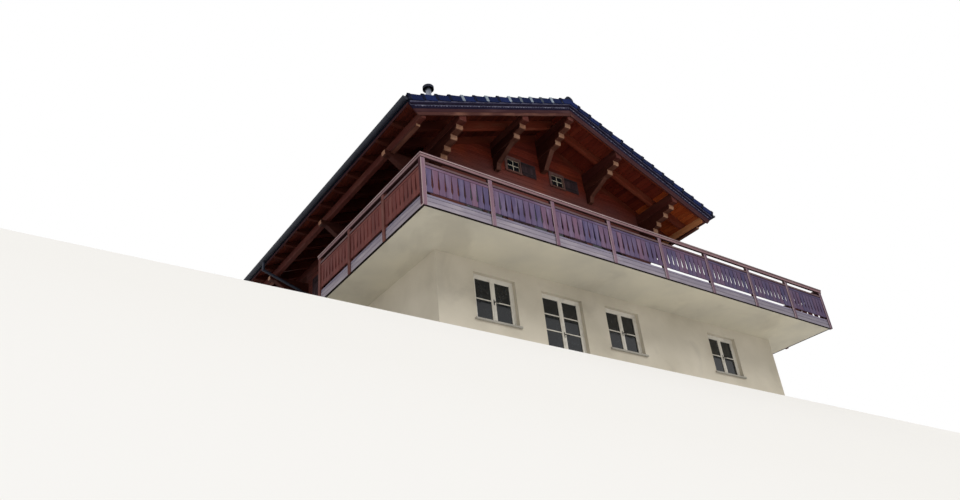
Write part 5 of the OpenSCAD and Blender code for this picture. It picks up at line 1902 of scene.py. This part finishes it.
    def shutters(self) -> None:
        """Makes each leaf of upright boards on two battens, with strap hinges and their pins."""
        bm = bmesh.new()
        for box in solid_boxes("shutters"):
            leaf = Opening(box)
            count = max(3, round(leaf.width / self.shutter_board_w))
            step = leaf.width / count
            thick = min(box.size.x, box.size.y)
            for i in range(count):
                u = (i * step + self.board_gap / 2, (i + 1) * step - self.board_gap / 2)
                leaf.put(bm, u, (0, leaf.height), (-thick, -self.batten_t), 0)
            for share in self.batten_places:
                middle = leaf.height * share
                batten = (middle - self.batten_w / 2, middle + self.batten_w / 2)
                hinge = (middle - self.hinge_w / 2, middle + self.hinge_w / 2)
                leaf.put(bm, (12 * MM, leaf.width - 12 * MM), batten, (-self.batten_t, 0), 0)
                leaf.put(bm, (0, leaf.width * self.hinge_reach), hinge, (0, 4 * MM), 1)
        soften(bm, self.edge)
        add_piece("boarded_shutters", lay_grain(plain_mesh("shutters", bm), Grain.UPRIGHT, 81),
                  [SHUTTER_WOOD, IRONWORK], "red_brown_wood", ["shutters"])

    def build(self) -> None:
        """Makes the windows, doors and shutters."""
        self.lower()
        self.upper()
        self.shutters()


@dataclass(frozen=True)
class PhotoCamera:
    """The camera at the photograph's place, found from the balustrade and the roof's edges."""

    place: tuple[float, float, float] = (-12.093, -15.710, -6.178)
    pitch: float = math.radians(30.12)
    roll: float = math.radians(5.886)
    yaw: float = math.radians(-38.284)
    focal_px: float = 781.3
    width_px: float = 960.0
    sensor: float = 36.0

    def build(self) -> None:
        """Makes the scene's camera."""
        data = bpy.data.cameras.new("photo_camera")
        data.sensor_fit = "HORIZONTAL"
        data.sensor_width = self.sensor
        data.lens = self.sensor * self.focal_px / self.width_px
        data.clip_end = 400.0
        camera = bpy.data.objects.new("photo_camera", data)
        bpy.context.scene.collection.objects.link(camera)
        looking = (Matrix.Rotation(self.yaw, 4, "Z") @ Matrix.Rotation(self.pitch, 4, "X")
                   @ Matrix.Rotation(self.roll, 4, "Y") @ Matrix.Rotation(math.pi / 2, 4, "X"))
        camera.matrix_world = Matrix.Translation(self.place) @ looking
        bpy.context.scene.camera = camera


@dataclass(frozen=True)
class Studio:
    """A pale floor that falls away in front of the house, a white surround and one soft lamp."""

    ambient: float = 0.65
    lamp: float = 1.6
    fall: float = math.radians(33.5)
    level_y: float = -4.2
    half: float = 60.0
    bend: float = 2.5
    # Between these distances the floor turns into the white surround
    fade: Pair = (14.0, 34.0)
    bend_steps: int = 12
    lamp_spread: float = math.radians(25.0)
    lamp_way: tuple[float, float, float] = (-0.55, 0.75, -0.75)

    def looked_at(self, tree: NodeTree) -> NodeSocket:
        """Gives 1 for what the camera sees straight or mirrored, and 0 for what only lights the scene.

        Args:
            tree: The node tree.

        Returns:
            The value's socket.
        """
        rays = [add_node(tree, "ShaderNodeLightPath", out=f"Is {kind} Ray") for kind in ("Camera", "Glossy")]
        return add_node(tree, "ShaderNodeMath", dict(enumerate(rays)), operation="MAXIMUM")

    def build(self) -> None:
        """Makes the floor, the surround and the lamp."""
        scene = bpy.context.scene
        scene.view_settings.view_transform = "Standard"
        world = bpy.data.worlds.new("white_surround")
        scene.world = world
        world.use_nodes = True
        tree = world.node_tree
        tree.nodes.clear()
        through = add_node(tree, "ShaderNodeLightPath", out="Is Transmission Ray")
        seen = add_node(tree, "ShaderNodeMath", {0: self.looked_at(tree), 1: through}, operation="MAXIMUM")
        level = add_node(tree, "ShaderNodeMapRange", {"Value": seen, "To Min": self.ambient})
        sky = add_node(tree, "ShaderNodeBackground", {"Color": srgb("#ffffff"), "Strength": level})
        add_node(tree, "ShaderNodeOutputWorld", {"Surface": sky})
        lamp = bpy.data.lights.new("soft_lamp", "SUN")
        lamp.energy = self.lamp
        lamp.angle = self.lamp_spread
        holder = bpy.data.objects.new("soft_lamp", lamp)
        scene.collection.objects.link(holder)
        holder.rotation_euler = Vector(self.lamp_way).to_track_quat("-Z", "Y").to_euler()
        # A lamp this small would stand as a white patch in the window panes
        holder.visible_glossy = False
        self.floor()

    def floor(self) -> None:
        """Makes the floor: level under the house, rolling down towards the camera."""
        far = self.half
        rows = [(far, 0.0), (self.level_y, 0.0)]
        for i in range(1, self.bend_steps + 1):
            turn = self.fall * i / self.bend_steps
            rows.append((self.level_y - self.bend * math.sin(turn), -self.bend * (1 - math.cos(turn))))
        y, z = rows[-1]
        rows.append((y - far, z - far * math.tan(self.fall)))
        bm = bmesh.new()
        lines = [[bm.verts.new((x, y, z - 2 * MM)) for x in (-far, far)] for y, z in rows]
        for one, two in zip(lines, lines[1:]):
            bm.faces.new((one[0], two[0], two[1], one[1])).smooth = True
        mesh = plain_mesh("studio_floor", bm)
        floor = bpy.data.objects.new("studio_floor", mesh)
        bpy.context.scene.collection.objects.link(floor)
        material = bpy.data.materials.new("pale_floor_matt")
        material.use_nodes = True
        tree = material.node_tree
        tree.nodes.clear()
        place = add_node(tree, "ShaderNodeTexCoord", out="Object")
        reach = add_node(tree, "ShaderNodeVectorMath", {0: place}, "Value", operation="LENGTH")
        far_off = add_node(tree, "ShaderNodeMapRange",
                           {"Value": reach, "From Min": self.fade[0], "From Max": self.fade[1]})
        share = add_node(tree, "ShaderNodeMath", {0: self.looked_at(tree), 1: far_off}, operation="MULTIPLY")
        matt = add_node(tree, "ShaderNodeBsdfDiffuse", {"Color": srgb("#eceae6")})
        white = add_node(tree, "ShaderNodeEmission", {"Color": srgb("#ffffff"), "Strength": 1.0})
        both = add_node(tree, "ShaderNodeMixShader", {0: share, 1: matt, 2: white})
        add_node(tree, "ShaderNodeOutputMaterial", {"Surface": both})
        mesh.materials.append(material)


def main() -> None:
    """Builds the chalet's looks in order and reports each piece."""
    logging.basicConfig(level=logging.INFO, format="%(name)s: %(message)s")
    PhotoCamera().build()
    rows = Rows()
    Masonry().build()
    Timbers().build()
    Balustrade(rows).build()
    Roof(rows).build()
    Drainage(rows).build()
    Openings().build()
    Studio().build()


if __name__ == "__main__":
    main()
